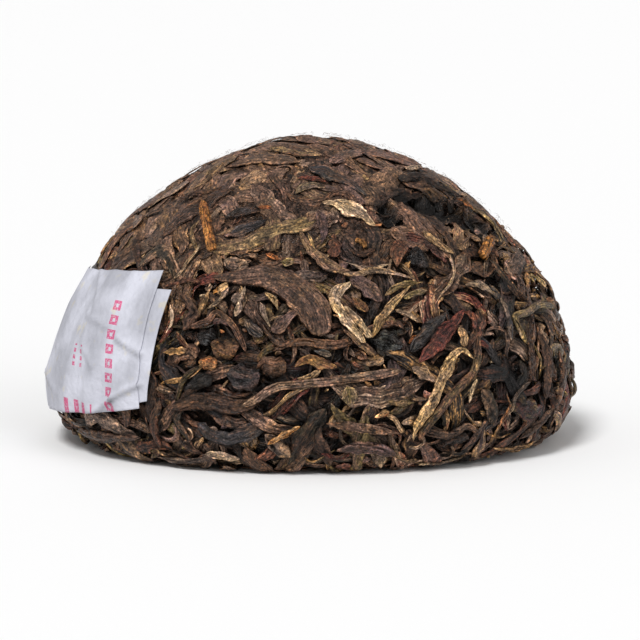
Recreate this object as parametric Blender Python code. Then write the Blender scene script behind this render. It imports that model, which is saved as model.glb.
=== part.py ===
"""A pu erh tuocha: tea leaves pressed into a thick bowl that lies dome up, with a paper slip pressed on its side.

Metres, +Z up. The origin is on the floor under the middle of the dome. Azimuth 0 faces the front, -Y, and
azimuth grows towards +X. Outline places are lengths along the profile, from the dome's top to the hollow's top.
"""

import math
import random

import bmesh
import bpy
import numpy as np

MM = 0.001
TINY = 1e-6

# The bowl's profile
RADIUS = 52.5 * MM
HEIGHT = 60.3 * MM
WIDEST_HEIGHT = 12 * MM
LAND_OUTER = 45 * MM
LAND_INNER = 36 * MM
HOLLOW_RADIUS = 31 * MM
HOLLOW_DEPTH = 34 * MM
MOUTH_HEIGHT = 6 * MM
TOP_FULLNESS = 1.76
SIDE_FULLNESS = 1.80
CURVE_STEPS = 40

# The core, inside the leaves
CORE_SIDES = 30
CORE_RING_STEP = 8.5 * MM
ROUGH_DEPTH = 1.9 * MM
SMOOTH_DEPTH = 0.9 * MM
SMOOTH_ABOVE = 46 * MM
ROUGH_BELOW = 34 * MM
HOLLOW_ROUGHNESS = 0.3
LAND_RAMP = 5 * MM
FLOOR_GAP = 0.35 * MM

# Hollows in the dome: across and up as seen from the front, radius, depth
DENTS = (
    (15.0 * MM, 50.0 * MM, 3.6 * MM, 2.2 * MM),
    (13.5 * MM, 46.5 * MM, 3.0 * MM, 1.8 * MM),
    (21.0 * MM, 49.5 * MM, 6.0 * MM, 1.8 * MM),
    (27.0 * MM, 48.0 * MM, 5.0 * MM, 1.4 * MM),
    (38.4 * MM, 16.3 * MM, 4.0 * MM, 1.6 * MM),
)

# Leaves, stems and buds that show one by one: width, height of the top over the outline, then the route,
# across and up as seen from the front, all in mm
SHOWN_LEAVES = {
    "broad_dark_leaf": (5.4, 0.3, ((-20.5, 36.5), (-13, 37), (-7.5, 37.4), (-3, 35), (0.5, 31.3), (3.2, 26.5))),
    "curled_bud": (3.2, 0.4, ((6, 36), (4, 33), (5.8, 30.2), (7.6, 27.4), (10, 25.2))),
    "bud_strand": (1.6, 0.3, ((5.4, 31.8), (8, 30.2), (10.5, 28.4))),
    "bud_arm": (2.4, 0.2, ((15.8, 33), (13.3, 31), (11, 28.4))),
    "golden_strip": (2.8, 0.8, ((30.4, 21), (27.7, 23), (24.6, 18.3), (22.9, 14), (20, 10), (18.7, 6.6))),
    "olive_stem": (2.2, 0.2, ((31.4, 25.5), (30.8, 19), (26.5, 15), (21.7, 9.2), (19.9, 6.6))),
    "red_strip": (3.4, 0.1, ((28.8, 30.2), (24.8, 26), (19.8, 21.2))),
    "black_strip": (3.6, 0.1, ((25.3, 30), (22, 26.6), (18.3, 23.3))),
    "long_stem": (2.2, 0.6, ((16.6, 20), (6.3, 18.8), (-1.7, 18), (-7, 17.3), (-11, 14.8), (-13.6, 13.4))),
    "thick_twist": (3.6, 0.5, ((-27, 12.6), (-21, 14), (-13.6, 13.5), (-9.5, 16.4))),
    "tan_flat_leaf": (4.0, 0.1, ((1.7, 50.1), (6.5, 49), (12, 45.8))),
    "orange_stem": (1.6, 0.3, ((-21.6, 49.5), (-20.5, 45.4), (-19.4, 41.2))),
    "orange_stub": (2.4, 0.2, ((35, 41.8), (34, 40.4), (33, 39))),
    "tendril": (1.7, 0.5, ((40.6, 22.3), (39.8, 24.8), (38.7, 27.6), (41.4, 28), (43.6, 28.7), (46.8, 27.6))),
    "pale_fragment": (2.2, 0.2, ((-12.8, 35), (-13.7, 32.7), (-14.7, 29.8))),
    "yellow_leaf": (3.0, 0.1, ((-8.6, 6.2), (-5.8, 7.9), (-2.4, 9.9))),
    "whitish_leaf": (2.4, 0.2, ((-20.4, 3.6), (-17, 3.4), (-13.7, 3.2))),
    "grey_bud": (3.8, 0.3, ((-9, 8.4), (-6.7, 5.6), (-4.3, 3.8))),
    "curved_leaf": (3.0, 0.3, ((23.5, 5.4), (26, 8.2), (28.8, 10.3), (31, 10.6))),
    "round_leaf": (5.0, 0.2, ((33.3, 14), (33.6, 11.3), (33.2, 8.6))),
    "pale_strip": (1.8, 0.2, ((39.3, 15.4), (37.8, 12.2), (36, 8.8))),
    "ochre_ball": (5.0, 0.6, ((-19.0, 25.0), (-16.7, 24.6), (-14.4, 24.2))),
    "blue_black_ball": (5.8, 0.7, ((-15.8, 19.3), (-13.1, 19.2), (-10.4, 19.1))),
    "dark_ball": (3.0, 0.3, ((-22.0, 26.2), (-20.5, 26.0), (-19.0, 25.8))),
    "black_ball": (5.0, 0.4, ((11.4, 26.0), (13.8, 25.6), (16.2, 25.2))),
    "ochre_chunk": (3.2, 0.3, ((-21.6, 21.4), (-19.9, 21.2), (-18.2, 21.0))),
    "dark_blade": (4.6, 0.2, ((-4.7, 2.0), (-2.1, 7.4), (2.4, 13.3))),
    "low_strip": (2.8, 0.3, ((2.4, 10.5), (9.1, 9.2), (16.3, 8.2))),
    "lower_strip": (2.6, 0.2, ((4.3, 5.0), (9.9, 5.2), (15.7, 3.7))),
    "curled_strip": (2.2, 0.3, ((19.9, 6.7), (24.8, 9.3), (29.6, 7.5), (30.5, 3.6))),
    "left_low_strip": (3.2, 0.0, ((-46.3, 3.9), (-39.9, 4.1), (-32.8, 5.8))),
    "left_blade": (3.4, 0.1, ((-29.2, 13.7), (-30.4, 8.8), (-29.0, 3.4))),
    "left_twist": (2.8, 0.2, ((-24.0, 15.1), (-26.0, 10.2), (-23.1, 6.5))),
    "side_leaf": (3.6, 0.0, ((-26.0, 33.7), (-23.2, 31.3), (-24.7, 26.8))),
    "middle_leaf": (3.8, 0.1, ((-10.9, 32.8), (-9.0, 28.4), (-5.2, 24.9))),
    "right_leaf": (3.6, 0.1, ((43.8, 24.4), (46.2, 18.5), (45.3, 11.2))),
    "far_right_leaf": (3.2, 0.0, ((48.5, 19.6), (49.3, 13.8), (47.5, 8.5))),
    "top_leaf": (5.0, 0.0, ((-17.2, 55.2), (-10.3, 56.8), (-2.5, 56.7))),
    "upper_left_leaf": (5.4, 0.0, ((-29.5, 42.8), (-22.8, 48.4), (-15.1, 52.2))),
}

# The seeded cover of pressed leaves
SEED = 7
OUTER_LEAVES = 112
HOLLOW_LEAVES = 20
GOLDEN_TURN = math.pi * (3 - math.sqrt(5))
SPREAD_SAMPLES = 400
SHORT_LEAF = 12 * MM
LONG_LEAF = 34 * MM
NARROW_LEAF = 3.4 * MM
BROAD_LEAF = 6.2 * MM
PRESSED_WIDER = 1.4
LEAF_BEND = 55
LEAF_RINGS = 5
HIGHEST_TOP = -0.05 * MM
LOWEST_PRESSED_TOP = -0.35 * MM
ROUGH_SINK = 0.6 * MM
SHOWN_RINGS_PER_MM = 0.3
ROUTE_SAMPLES = 12
SHOULDER_DROP = 0.35 * MM
BELOW_CORE = 0.8 * MM

# Leaf sections: places across, as shares of half the width, and the level of each
FLAT_SECTION = ((-1, "low"), (-0.6, "top"), (0.6, "top"), (1, "low"))
ROUND_SECTION = ((-1, "low"), (-0.7, "shoulder"), (0, "top"), (0.7, "shoulder"), (1, "low"))

# The paper slip, across the left side: its ends as azimuths, its edges as heights
SLIP_BACK = math.radians(-98)
SLIP_FRONT = math.radians(-37)
SLIP_CORNER_CUT = math.radians(5)
SLIP_CUT_ROWS = 1.2
SLIP_HEAD = (33.5 * MM, 37 * MM)
SLIP_FOOT = (7 * MM, 12 * MM)
SLIP_FOOT_CURVE = 2.2
SLIP_THICKNESS = 0.4 * MM
SLIP_WAVE = 0.12 * MM
SLIP_RIPPLES = ((9, 5), (17, -3))
SLIP_LIFT = -0.1 * MM
SLIP_COLUMNS = 12
SLIP_ROWS = 6
SLIP_ROOM = 0.75 * MM
SLIP_MARGIN = 2.5 * MM

TEA_COLOUR = (0.10, 0.062, 0.042)
TEA_ROUGHNESS = 0.75
PAPER_COLOUR = (0.80, 0.83, 0.88)
PAPER_ROUGHNESS = 0.65


def clear_scene():
    for item in list(bpy.data.objects):
        bpy.data.objects.remove(item, do_unlink=True)


def make_outline():
    """Points (r, z) of the outside, from the dome's top over the lip and the land to the hollow's top."""
    turn = np.linspace(0, math.pi / 2, CURVE_STEPS)
    dome_rise = HEIGHT - WIDEST_HEIGHT
    dome_z = WIDEST_HEIGHT + dome_rise * np.cos(turn) ** (2 / TOP_FULLNESS)
    dome = np.stack([RADIUS * np.sin(turn) ** (2 / SIDE_FULLNESS), dome_z], axis=1)
    lip_r = LAND_OUTER + (RADIUS - LAND_OUTER) * np.cos(turn)
    lip = np.stack([lip_r, WIDEST_HEIGHT * (1 - np.sin(turn))], axis=1)
    mouth_r = HOLLOW_RADIUS + (LAND_INNER - HOLLOW_RADIUS) * (1 - np.sin(turn))
    mouth = np.stack([mouth_r, MOUTH_HEIGHT * (1 - np.cos(turn))], axis=1)
    hollow_z = MOUTH_HEIGHT + (HOLLOW_DEPTH - MOUTH_HEIGHT) * np.sin(turn)
    hollow = np.stack([HOLLOW_RADIUS * np.cos(turn), hollow_z], axis=1)
    return np.concatenate([dome, lip[1:], mouth, hollow[1:]])


OUTLINE = make_outline()
OUTLINE_STEPS = np.diff(OUTLINE, axis=0)
OUTLINE_LENGTHS = np.concatenate([[0], np.cumsum(np.hypot(*OUTLINE_STEPS.T))])
LAND_START = OUTLINE_LENGTHS[2 * CURVE_STEPS - 2]
LAND_END = OUTLINE_LENGTHS[2 * CURVE_STEPS - 1]
OUTLINE_END = OUTLINE_LENGTHS[-1]


def outline_normals():
    """Outward directions (r, z) at the outline's points."""
    steps = OUTLINE_STEPS / np.hypot(*OUTLINE_STEPS.T)[:, None]
    directions = np.concatenate([steps[:1], steps[:-1] + steps[1:], steps[-1:]])
    directions /= np.hypot(*directions.T)[:, None]
    return np.stack([-directions[:, 1], directions[:, 0]], axis=1)


OUTLINE_NORMALS = outline_normals()


def on_outline(length):
    """Point (r, z) and outward direction (r, z) at lengths along the outline."""
    place = [np.interp(length, OUTLINE_LENGTHS, OUTLINE[:, axis]) for axis in (0, 1)]
    normal = [np.interp(length, OUTLINE_LENGTHS, OUTLINE_NORMALS[:, axis]) for axis in (0, 1)]
    return np.array(place), np.array(normal)


def turned(radial, height, azimuth):
    """Points in space from distances to the axis, heights and azimuths."""
    return np.stack([radial * np.sin(azimuth), -radial * np.cos(azimuth), height + 0 * azimuth], axis=-1)


def settle(points):
    """Nearest points on the turned outline, with their outward normals and lengths along the outline."""
    flat = np.stack([np.hypot(points[:, 0], points[:, 1]), points[:, 2]], axis=1)
    starts = OUTLINE[:-1]
    gaps = flat[:, None, :] - starts[None]
    along = (gaps * OUTLINE_STEPS).sum(axis=2) / (OUTLINE_STEPS**2).sum(axis=1)
    along = np.clip(along, 0, 1)
    misses = gaps - along[..., None] * OUTLINE_STEPS
    nearest = (misses**2).sum(axis=2).argmin(axis=1)
    fraction = along[np.arange(len(points)), nearest]
    lengths = OUTLINE_LENGTHS[nearest] + fraction * np.diff(OUTLINE_LENGTHS)[nearest]
    azimuths = np.arctan2(points[:, 0], -points[:, 1])
    place, normal = on_outline(lengths)
    return turned(*place, azimuths), turned(*normal, azimuths), lengths


def from_front(across, up):
    """Points on the dome or lip that show at these places from the front."""
    outside = OUTLINE_LENGTHS <= LAND_START
    radial = np.interp(-up, -OUTLINE[outside, 1], OUTLINE[outside, 0])
    return np.stack([across, -np.sqrt(np.maximum(radial**2 - across**2, 0)), up], axis=-1)


def smoothstep(low, high, value):
    share = np.clip((value - low) / (high - low), 0, 1)
    return share * share * (3 - 2 * share)


def roughness(heights, lengths):
    """0 where the leaves are pressed flat, 1 where they stand out."""
    outside = smoothstep(SMOOTH_ABOVE, ROUGH_BELOW, heights)
    return np.where(lengths < LAND_START, outside, HOLLOW_ROUGHNESS)


def dent_depth(points):
    depth = np.zeros(len(points))
    for across, up, radius, deep in DENTS:
        centre = from_front(np.array(across), np.array(up))
        distance = np.linalg.norm(points - centre, axis=1)
        depth = np.maximum(depth, deep * np.exp(-((distance / radius) ** 2)))
    return depth


def core_depth(points, lengths):
    """How far the core lies inside the outline: nothing on the land, where the bowl stands."""
    covered = SMOOTH_DEPTH + (ROUGH_DEPTH - SMOOTH_DEPTH) * roughness(points[:, 2], lengths)
    to_land = np.maximum(LAND_START - lengths, lengths - LAND_END)
    return (covered + dent_depth(points)) * smoothstep(0, LAND_RAMP, to_land)


def slip_edges(share):
    """Heights of the slip's top and bottom edges, from its back end at 0 to its front end at 1."""
    head = SLIP_HEAD[0] + (SLIP_HEAD[1] - SLIP_HEAD[0]) * share
    foot = SLIP_FOOT[0] + (SLIP_FOOT[1] - SLIP_FOOT[0]) * share**SLIP_FOOT_CURVE
    return head, foot


def under_slip(points):
    azimuth = np.arctan2(points[:, 0], -points[:, 1])
    share = (azimuth - SLIP_BACK) / (SLIP_FRONT - SLIP_BACK)
    head, foot = slip_edges(np.clip(share, 0, 1))
    spare = SLIP_MARGIN / (RADIUS * (SLIP_FRONT - SLIP_BACK))
    beside = (share > -spare) & (share < 1 + spare)
    return beside & (points[:, 2] > foot - SLIP_MARGIN) & (points[:, 2] < head + SLIP_MARGIN)


def new_object(name, vertices, faces):
    mesh = bpy.data.meshes.new(name)
    mesh.from_pydata([tuple(vertex) for vertex in vertices], [], faces)
    mesh.validate()
    item = bpy.data.objects.new(name, mesh)
    bpy.context.scene.collection.objects.link(item)
    return item


def ring_faces(rings, sides, first, last):
    """Triangles of a closed skin over rings of vertices, with one more vertex at each end."""
    faces = []
    for side in range(sides):
        after = (side + 1) % sides
        faces.append((first, side, after))
        for ring in range(rings - 1):
            here = ring * sides
            above = here + sides
            faces.append((here + side, above + after, here + after))
            faces.append((here + side, above + side, above + after))
        end = (rings - 1) * sides
        faces.append((last, end + after, end + side))
    return faces


def make_core():
    """The bowl inside the leaves, with its hollow, standing on a flat land."""
    breaks = [0, LAND_START, LAND_END, OUTLINE_END]
    stations = []
    for start, end in zip(breaks, breaks[1:]):
        count = max(1, round((end - start) / CORE_RING_STEP))
        stations += list(np.linspace(start, end, count, endpoint=False))
    stations = np.array(stations[1:])
    azimuths = np.linspace(0, 2 * math.pi, CORE_SIDES, endpoint=False)
    length = np.repeat(stations, CORE_SIDES)
    around = np.tile(azimuths, len(stations))
    place, normal = on_outline(length)
    points = turned(*place, around)
    points -= turned(*normal, around) * core_depth(points, length)[:, None]
    top = (0, 0, HEIGHT - SMOOTH_DEPTH)
    hollow_top = (0, 0, HOLLOW_DEPTH + SMOOTH_DEPTH)
    faces = ring_faces(len(stations), CORE_SIDES, len(points), len(points) + 1)
    return new_object("tea_cake", [*points, top, hollow_top], faces)


def smooth_route(corners, count):
    """Evenly spaced points on a smooth curve through the corners."""
    corners = np.array(corners)
    padded = np.concatenate([2 * corners[:1] - corners[1:2], corners, 2 * corners[-1:] - corners[-2:-1]])
    share = np.linspace(0, 1, ROUTE_SAMPLES, endpoint=False)[:, None]
    pieces = []
    for before, start, end, after in zip(padded, padded[1:], padded[2:], padded[3:]):
        linear = end - before
        square = 2 * before - 5 * start + 4 * end - after
        cube = 3 * (start - end) + after - before
        pieces.append(start + 0.5 * share * (linear + share * (square + share * cube)))
    dense = np.concatenate([*pieces, corners[-1:]])
    travelled = np.concatenate([[0], np.cumsum(np.linalg.norm(np.diff(dense, axis=0), axis=1))])
    even = np.linspace(0, travelled[-1], count)
    return np.stack([np.interp(even, travelled, dense[:, axis]) for axis in range(dense.shape[1])], axis=1)


def leaf_rings(route, half_width, top, section):
    """Vertices of one flattened leaf along a route, its underside sunk in the core and its tips tucked in."""
    points, normals, lengths = settle(route)
    travel = np.gradient(points, axis=0)
    across = np.cross(normals, travel)
    across /= np.linalg.norm(across, axis=1)[:, None]
    depth = core_depth(points, lengths)
    top = top - dent_depth(points)
    top = np.where(under_slip(points), np.minimum(top, -SLIP_ROOM), top)
    share = np.linspace(-1, 1, len(points))
    taper = 1 - np.abs(share) ** 3
    levels = {"top": top, "shoulder": top - SHOULDER_DROP, "low": -(depth + BELOW_CORE)}
    rings = []
    for offset, level in section:
        sideways = across * (offset * half_width * taper)[:, None]
        rings.append(points + sideways + normals * levels[level][:, None])
    rings = np.stack(rings, axis=1)[1:-1]
    tips = [points[end] - normals[end] * (depth[end] + BELOW_CORE / 2) for end in (0, -1)]
    vertices = np.concatenate([rings.reshape(-1, 3), tips])
    low = vertices[:, 2] < FLOOR_GAP
    outside = lengths.mean() < LAND_START
    vertices[low & outside, 2] = FLOOR_GAP
    return vertices, len(rings)


def add_leaf(name, route, half_width, top, section, collection):
    vertices, rings = leaf_rings(route, half_width, top, section)
    sides = len(section)
    count = rings * sides
    item = new_object(name, vertices, ring_faces(rings, sides, count, count + 1))
    bpy.context.scene.collection.objects.unlink(item)
    collection.objects.link(item)
    shape = bmesh.new()
    shape.from_mesh(item.data)
    bmesh.ops.recalc_face_normals(shape, faces=shape.faces)
    shape.to_mesh(item.data)
    shape.free()


def add_shown_leaves(collection):
    for name, (width, top, corners) in SHOWN_LEAVES.items():
        corners = np.array(corners) * MM
        length = np.linalg.norm(np.diff(corners, axis=0), axis=1).sum()
        rings = max(5, round(length / MM * SHOWN_RINGS_PER_MM))
        route = smooth_route(from_front(corners[:, 0], corners[:, 1]), rings)
        add_leaf(name, route, width * MM / 2, top * MM, ROUND_SECTION, collection)


def wander(start, heading, bend, length, rings):
    """A route over the surface from a start, bending steadily."""
    step = length / (rings - 1)
    point, normal, _ = (found[0] for found in settle(start[None]))
    level = np.cross(normal, (0, TINY, 1))
    level /= np.linalg.norm(level)
    direction = math.cos(heading) * level + math.sin(heading) * np.cross(level, normal)
    route = [point]
    for _ in range(rings - 1):
        turn = bend / (rings - 1)
        direction = math.cos(turn) * direction + math.sin(turn) * np.cross(normal, direction)
        point, normal, _ = (found[0] for found in settle((point + step * direction)[None]))
        direction = direction - normal * direction.dot(normal)
        direction /= np.linalg.norm(direction)
        route.append(point)
    return np.array(route)


def spread(count, start, end):
    """Places spread evenly over the turned outline between two lengths, each with the same area."""
    lengths = np.linspace(start, end, SPREAD_SAMPLES)
    radial = on_outline(lengths)[0][0]
    area = np.concatenate([[0], np.cumsum((radial[1:] + radial[:-1]) / 2)])
    shares = (np.arange(count) + 0.5) / count * area[-1]
    chosen = np.interp(shares, area, lengths)
    place, _ = on_outline(chosen)
    return turned(*place, GOLDEN_TURN * np.arange(count))


def add_cover_leaves(draw, collection, name, places):
    for number, place in enumerate(places):
        rough = float(roughness(place[2], settle(place[None])[2][0]))
        length = draw.uniform(SHORT_LEAF, LONG_LEAF)
        wider = PRESSED_WIDER + (1 - PRESSED_WIDER) * rough
        half_width = draw.uniform(NARROW_LEAF, BROAD_LEAF) * wider / 2
        top = draw.uniform(LOWEST_PRESSED_TOP - ROUGH_SINK * rough, HIGHEST_TOP)
        heading = draw.uniform(0, 2 * math.pi)
        bend = math.radians(draw.uniform(-LEAF_BEND, LEAF_BEND))
        route = wander(place, heading, bend, length, LEAF_RINGS)
        add_leaf(f"{name}_{number}", route, half_width, top, FLAT_SECTION, collection)


def fuse(core, collection):
    """Joins the leaves to the core, then keeps the outer skin alone."""
    union = core.modifiers.new("union", "BOOLEAN")
    union.operation = "UNION"
    union.solver = "MANIFOLD"
    union.operand_type = "COLLECTION"
    union.collection = collection
    bpy.context.view_layer.objects.active = core
    bpy.ops.object.modifier_apply(modifier=union.name)
    for item in list(collection.objects):
        bpy.data.objects.remove(item, do_unlink=True)
    bpy.data.collections.remove(collection)
    keep_outer_skin(core.data)


def keep_outer_skin(mesh):
    """Drops sealed hollows and loose scraps."""
    shape = bmesh.new()
    shape.from_mesh(mesh)
    unseen = set(shape.verts)
    skins = []
    while unseen:
        frontier = [unseen.pop()]
        skin = list(frontier)
        while frontier:
            vertex = frontier.pop()
            for edge in vertex.link_edges:
                other = edge.other_vert(vertex)
                if other in unseen:
                    unseen.remove(other)
                    frontier.append(other)
                    skin.append(other)
        skins.append(skin)
    skins.sort(key=len)
    for skin in skins[:-1]:
        bmesh.ops.delete(shape, geom=skin, context="VERTS")
    bmesh.ops.triangulate(shape, faces=shape.faces)
    shape.to_mesh(mesh)
    shape.free()


def make_slip():
    """A thin wavy sheet, hugging the dome, with both faces split alike."""
    rows = SLIP_ROWS + 1
    columns = SLIP_COLUMNS + 1
    down, along = np.meshgrid(np.linspace(0, 1, rows), np.linspace(0, 1, columns), indexing="ij")
    down, along = down.ravel(), along.ravel()
    cut = SLIP_CORNER_CUT * along * (1 - smoothstep(0, SLIP_CUT_ROWS / SLIP_ROWS, down))
    azimuth = SLIP_BACK + (SLIP_FRONT - SLIP_BACK) * along - cut
    head, foot = slip_edges(along)
    flat = from_front(0 * along, head + (foot - head) * down)
    on_dome = turned(-flat[:, 1], flat[:, 2], azimuth)
    points, normals, _ = settle(on_dome)
    ripples = [np.sin(turns * along + slant * down) for turns, slant in SLIP_RIPPLES]
    wave = SLIP_WAVE * sum(ripples) + SLIP_LIFT
    inner = points + normals * wave[:, None]
    outer = points + normals * (wave + SLIP_THICKNESS)[:, None]
    faces = []
    count = rows * columns
    for row in range(SLIP_ROWS):
        for column in range(SLIP_COLUMNS):
            here = row * columns + column
            below = here + columns
            for corner in ((here, below, below + 1), (here, below + 1, here + 1)):
                faces.append(tuple(index + count for index in corner))
                faces.append(corner[::-1])
    rim = list(range(columns))
    rim += [row * columns + SLIP_COLUMNS for row in range(1, rows)]
    rim += [SLIP_ROWS * columns + column for column in range(SLIP_COLUMNS - 1, -1, -1)]
    rim += [row * columns for row in range(SLIP_ROWS - 1, 0, -1)]
    for here, after in zip(rim, rim[1:] + rim[:1]):
        faces.append((here, after + count, after))
        faces.append((here, here + count, after + count))
    slip = new_object("paper_slip", np.concatenate([inner, outer]), faces)
    shape = bmesh.new()
    shape.from_mesh(slip.data)
    bmesh.ops.recalc_face_normals(shape, faces=shape.faces)
    shape.to_mesh(slip.data)
    shape.free()
    return slip


def finish(item, colour, roughness_value):
    material = bpy.data.materials.new(item.name)
    material.use_nodes = True
    shader = material.node_tree.nodes["Principled BSDF"]
    shader.inputs["Base Color"].default_value = (*colour, 1)
    shader.inputs["Roughness"].default_value = roughness_value
    shader.inputs["Metallic"].default_value = 0
    item.data.materials.clear()
    item.data.materials.append(material)


def main():
    clear_scene()
    draw = random.Random(SEED)
    cake = make_core()
    leaves = bpy.data.collections.new("leaves")
    bpy.context.scene.collection.children.link(leaves)
    add_shown_leaves(leaves)
    add_cover_leaves(draw, leaves, "outer_leaf", spread(OUTER_LEAVES, 0, LAND_START - LAND_RAMP / 4))
    add_cover_leaves(draw, leaves, "hollow_leaf", spread(HOLLOW_LEAVES, LAND_END + LAND_RAMP, OUTLINE_END))
    fuse(cake, leaves)
    finish(cake, TEA_COLOUR, TEA_ROUGHNESS)
    finish(make_slip(), PAPER_COLOUR, PAPER_ROUGHNESS)


main()
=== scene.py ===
"""The looks of a pu erh tuocha: pressed tea leaves over a rough core, and a paper slip on the side.

The leaves are laid from the outside in. The first ones touch the mould's surface, and each later one lies
under those above it, so the cake is as flush as a pressed one. Lengths are in millimetres until a mesh is
made. Azimuth 0 faces the front, -Y, and azimuth grows towards +X. Outline places are lengths along the
profile, from the dome's top over the lip and the land to the hollow's top.
"""

import itertools
import math

import bpy
import numpy as np
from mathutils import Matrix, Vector

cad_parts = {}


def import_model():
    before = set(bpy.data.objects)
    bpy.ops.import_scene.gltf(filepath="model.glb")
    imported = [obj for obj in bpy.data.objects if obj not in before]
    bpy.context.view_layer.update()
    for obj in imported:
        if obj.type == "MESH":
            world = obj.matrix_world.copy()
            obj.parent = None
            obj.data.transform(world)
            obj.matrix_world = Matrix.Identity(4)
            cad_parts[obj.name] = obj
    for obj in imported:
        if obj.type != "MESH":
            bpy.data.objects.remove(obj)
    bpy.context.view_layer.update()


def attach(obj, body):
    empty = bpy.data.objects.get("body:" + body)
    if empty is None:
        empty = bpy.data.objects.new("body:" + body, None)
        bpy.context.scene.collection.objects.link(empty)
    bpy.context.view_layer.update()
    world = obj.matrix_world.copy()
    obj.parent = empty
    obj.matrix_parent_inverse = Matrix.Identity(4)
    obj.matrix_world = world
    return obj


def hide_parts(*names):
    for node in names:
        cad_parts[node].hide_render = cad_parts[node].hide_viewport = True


MM = 0.001

# The bowl's profile
RADIUS = 52.5
HEIGHT = 60.3
WIDEST_HEIGHT = 12
LAND_OUTER = 45
LAND_INNER = 36
HOLLOW_RADIUS = 31
HOLLOW_DEPTH = 34
MOUTH_HEIGHT = 6
TOP_FULLNESS = 1.76
SIDE_FULLNESS = 1.80
CURVE_STEPS = 40

# Where the leaves are pressed flat, and how deep the core lies
SMOOTH_ABOVE = 46
ROUGH_BELOW = 34
HOLLOW_ROUGHNESS = 0.4
LAND_RAMP = 5
ROUGH_CORE = 3.2
SMOOTH_CORE = 0.9
LAND_CORE = 1.8
# The core's dark tea colour, dimmed further as painted shade for the gaps between the leaves
CORE_TONE_AND_PAINTED_SHADE = 0.38
DENT_IN_CORE = 1.3
DENT_SPREAD = 1.6
CORE_COLUMNS = 220
CORE_ROWS = 96
CORE_LUMPS = ((1.6, 0.45), (0.7, 0.3))

# Hollows in the outside: across and up as seen from the front, radius, depth
DENTS = (
    (13.8, 49.4, 1.7, 3.2),
    (15.0, 47.2, 1.6, 2.8),
    (18.6, 50.4, 2.6, 3.2),
    (21.6, 49.4, 3.2, 3.8),
    (24.6, 48.6, 3.4, 3.8),
    (27.6, 47.4, 3.2, 3.4),
    (30.4, 45.8, 2.6, 2.6),
    (32.8, 44.6, 2.4, 3.2),
    (38.4, 16.3, 4.0, 0.9),
)

# The paper slip: its ends as azimuths, its edges as heights
SLIP_BACK = math.radians(-98)
SLIP_FRONT = math.radians(-37)
SLIP_HEAD = (33.5, 37)
SLIP_FOOT = (7, 12)
SLIP_FOOT_CURVE = 2.2
SLIP_MARGIN = 0.8
SLIP_ROOM = 0.75
SHEET_FRONT = (math.radians(-38.8), math.radians(-41.4))
SHEET_LIFT = 0.6
FOOT_LIFT = 1.3
FLAP_BACK = math.radians(-47)
FLAP_FRONT = (math.radians(-37), math.radians(-36.5))
FLAP_HEIGHTS = (13.2, 33.6)
FLAP_FOOT_DROP = 2.2
FLAP_LIFT = 0.05
PAPER_THICKNESS = 0.12
SHEET_COLUMNS = 96
SHEET_ROWS = 56
FLAP_COLUMNS = 16

# Its sharp creases: from and to, as degrees round and height, and how high they stand
CREASES = (
    ((-48, 24.0), (-40, 21.8), 0.45),
    ((-39, 16.2), (-46, 13.0), 0.5),
    ((-46, 13.0), (-52, 9.8), 0.4),
    ((-64, 27.2), (-53, 25.8), 0.25),
    ((-60, 21.0), (-54, 18.3), 0.25),
    ((-79, 31.0), (-78, 20.0), 0.3),
    ((-69, 35.0), (-60, 28.0), 0.25),
    ((-84, 14.0), (-74, 12.0), 0.25),
)

# Colours as they show in soft light, from 0 to 255
COLOURS = {
    "black": (32, 27, 24),
    "olive_black": (50, 44, 35),
    "dark": (68, 51, 41),
    "brown": (98, 72, 56),
    "grey_brown": (117, 93, 78),
    "grey": (133, 114, 100),
    "red_brown": (102, 67, 52),
    "dark_red": (86, 46, 40),
    "tan": (158, 130, 98),
    "gold": (178, 150, 110),
    "ochre": (134, 104, 68),
    "orange": (156, 98, 58),
    "amber": (164, 115, 62),
    "purple": (92, 74, 72),
    "blue_grey": (88, 92, 94),
    "blue_black": (52, 50, 52),
    "olive": (108, 94, 62),
    "pale": (180, 159, 134),
}

SEED = 11
ROUTE_SAMPLES = 12
CHUNK = 20000
NOISE_SIZE = 4096

# The maps of how high a leaf may lie
CELL = 0.5
MAP_HALF = 104
MAP_SIDE = int(2 * MAP_HALF / CELL)

# The mould's bumps: size, height where the cake is flat, what roughness adds, seed
MOULD_BUMPS = ((9.0, 0.08, 0.45, 1), (3.5, 0.03, 0.12, 2))
ROUGH_RISE = 0.1
FULLER_SIDE = math.radians(80)
FULLER_WIDTH = 0.7
FULLER_RISE = 0.9
FULLER_ABOVE = 12
LAND_MARGIN = 2
SLIP_SINK = 0.3

# How the leaves are drawn and laid
CANDIDATES = 7
LEAST_SHOWN = 0.22
BARE_LEVEL = -2.2
LEAVES_IN_DENT = 1.5
HEADING_SPREAD = 1.1
HOOK_SHARE = 0.15
HOOK_TURN = math.radians(150)
FLAT_LEVELS = (-0.15, 0.08)
ROUGH_LEVELS = (-0.45, 0.5)
GAINS = (0.42, 1.38)
PRESSED_GAIN = 0.9
PRESSED_EVENNESS = 0.5
DUST = 0.4
SHOWN_STATIONS = 36
SHOWN_GAIN = 0.9
SHOWN_SECOND_GAIN = 0.6
SHOWN_DEEPEST = -3.0

# How a leaf's tone changes across it, with painted shade on its underside, in the gaps and in the dents, and
# a painted highlight on crests
RIM_PLACE = 0.82
RIM_WIDTH = 0.13
EDGE_DARKNESS = 0.3
UNDERSIDE_PAINTED_SHADE = 0.5
LEAST_PAINTED_SHADE = 0.5
ROUGH_PAINTED_SHADE = 0.28
CREST_PAINTED_HIGHLIGHT = 0.3
DENT_PAINTED_SHADE = 2.4

# Fine fibres on the dome
HAIRS = 1500
HAIR_REACH = 46
HAIR_HALF = 0.02
HAIR_STATIONS = 6

# The leaf material: noises along the leaf and in space, as size and detail
GRAIN_NOISES = (((0.24, 2.4, 1.0), 4), ((0.9, 5.0, 1.0), 2), ((0.3, 0.8, 1.0), 3), ((0.35, 0.9, 2.0), 2))
SPACE_NOISES = ((2400, 3), (1500, 2), (750, 3), (420, 2), (240, 2))

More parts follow.
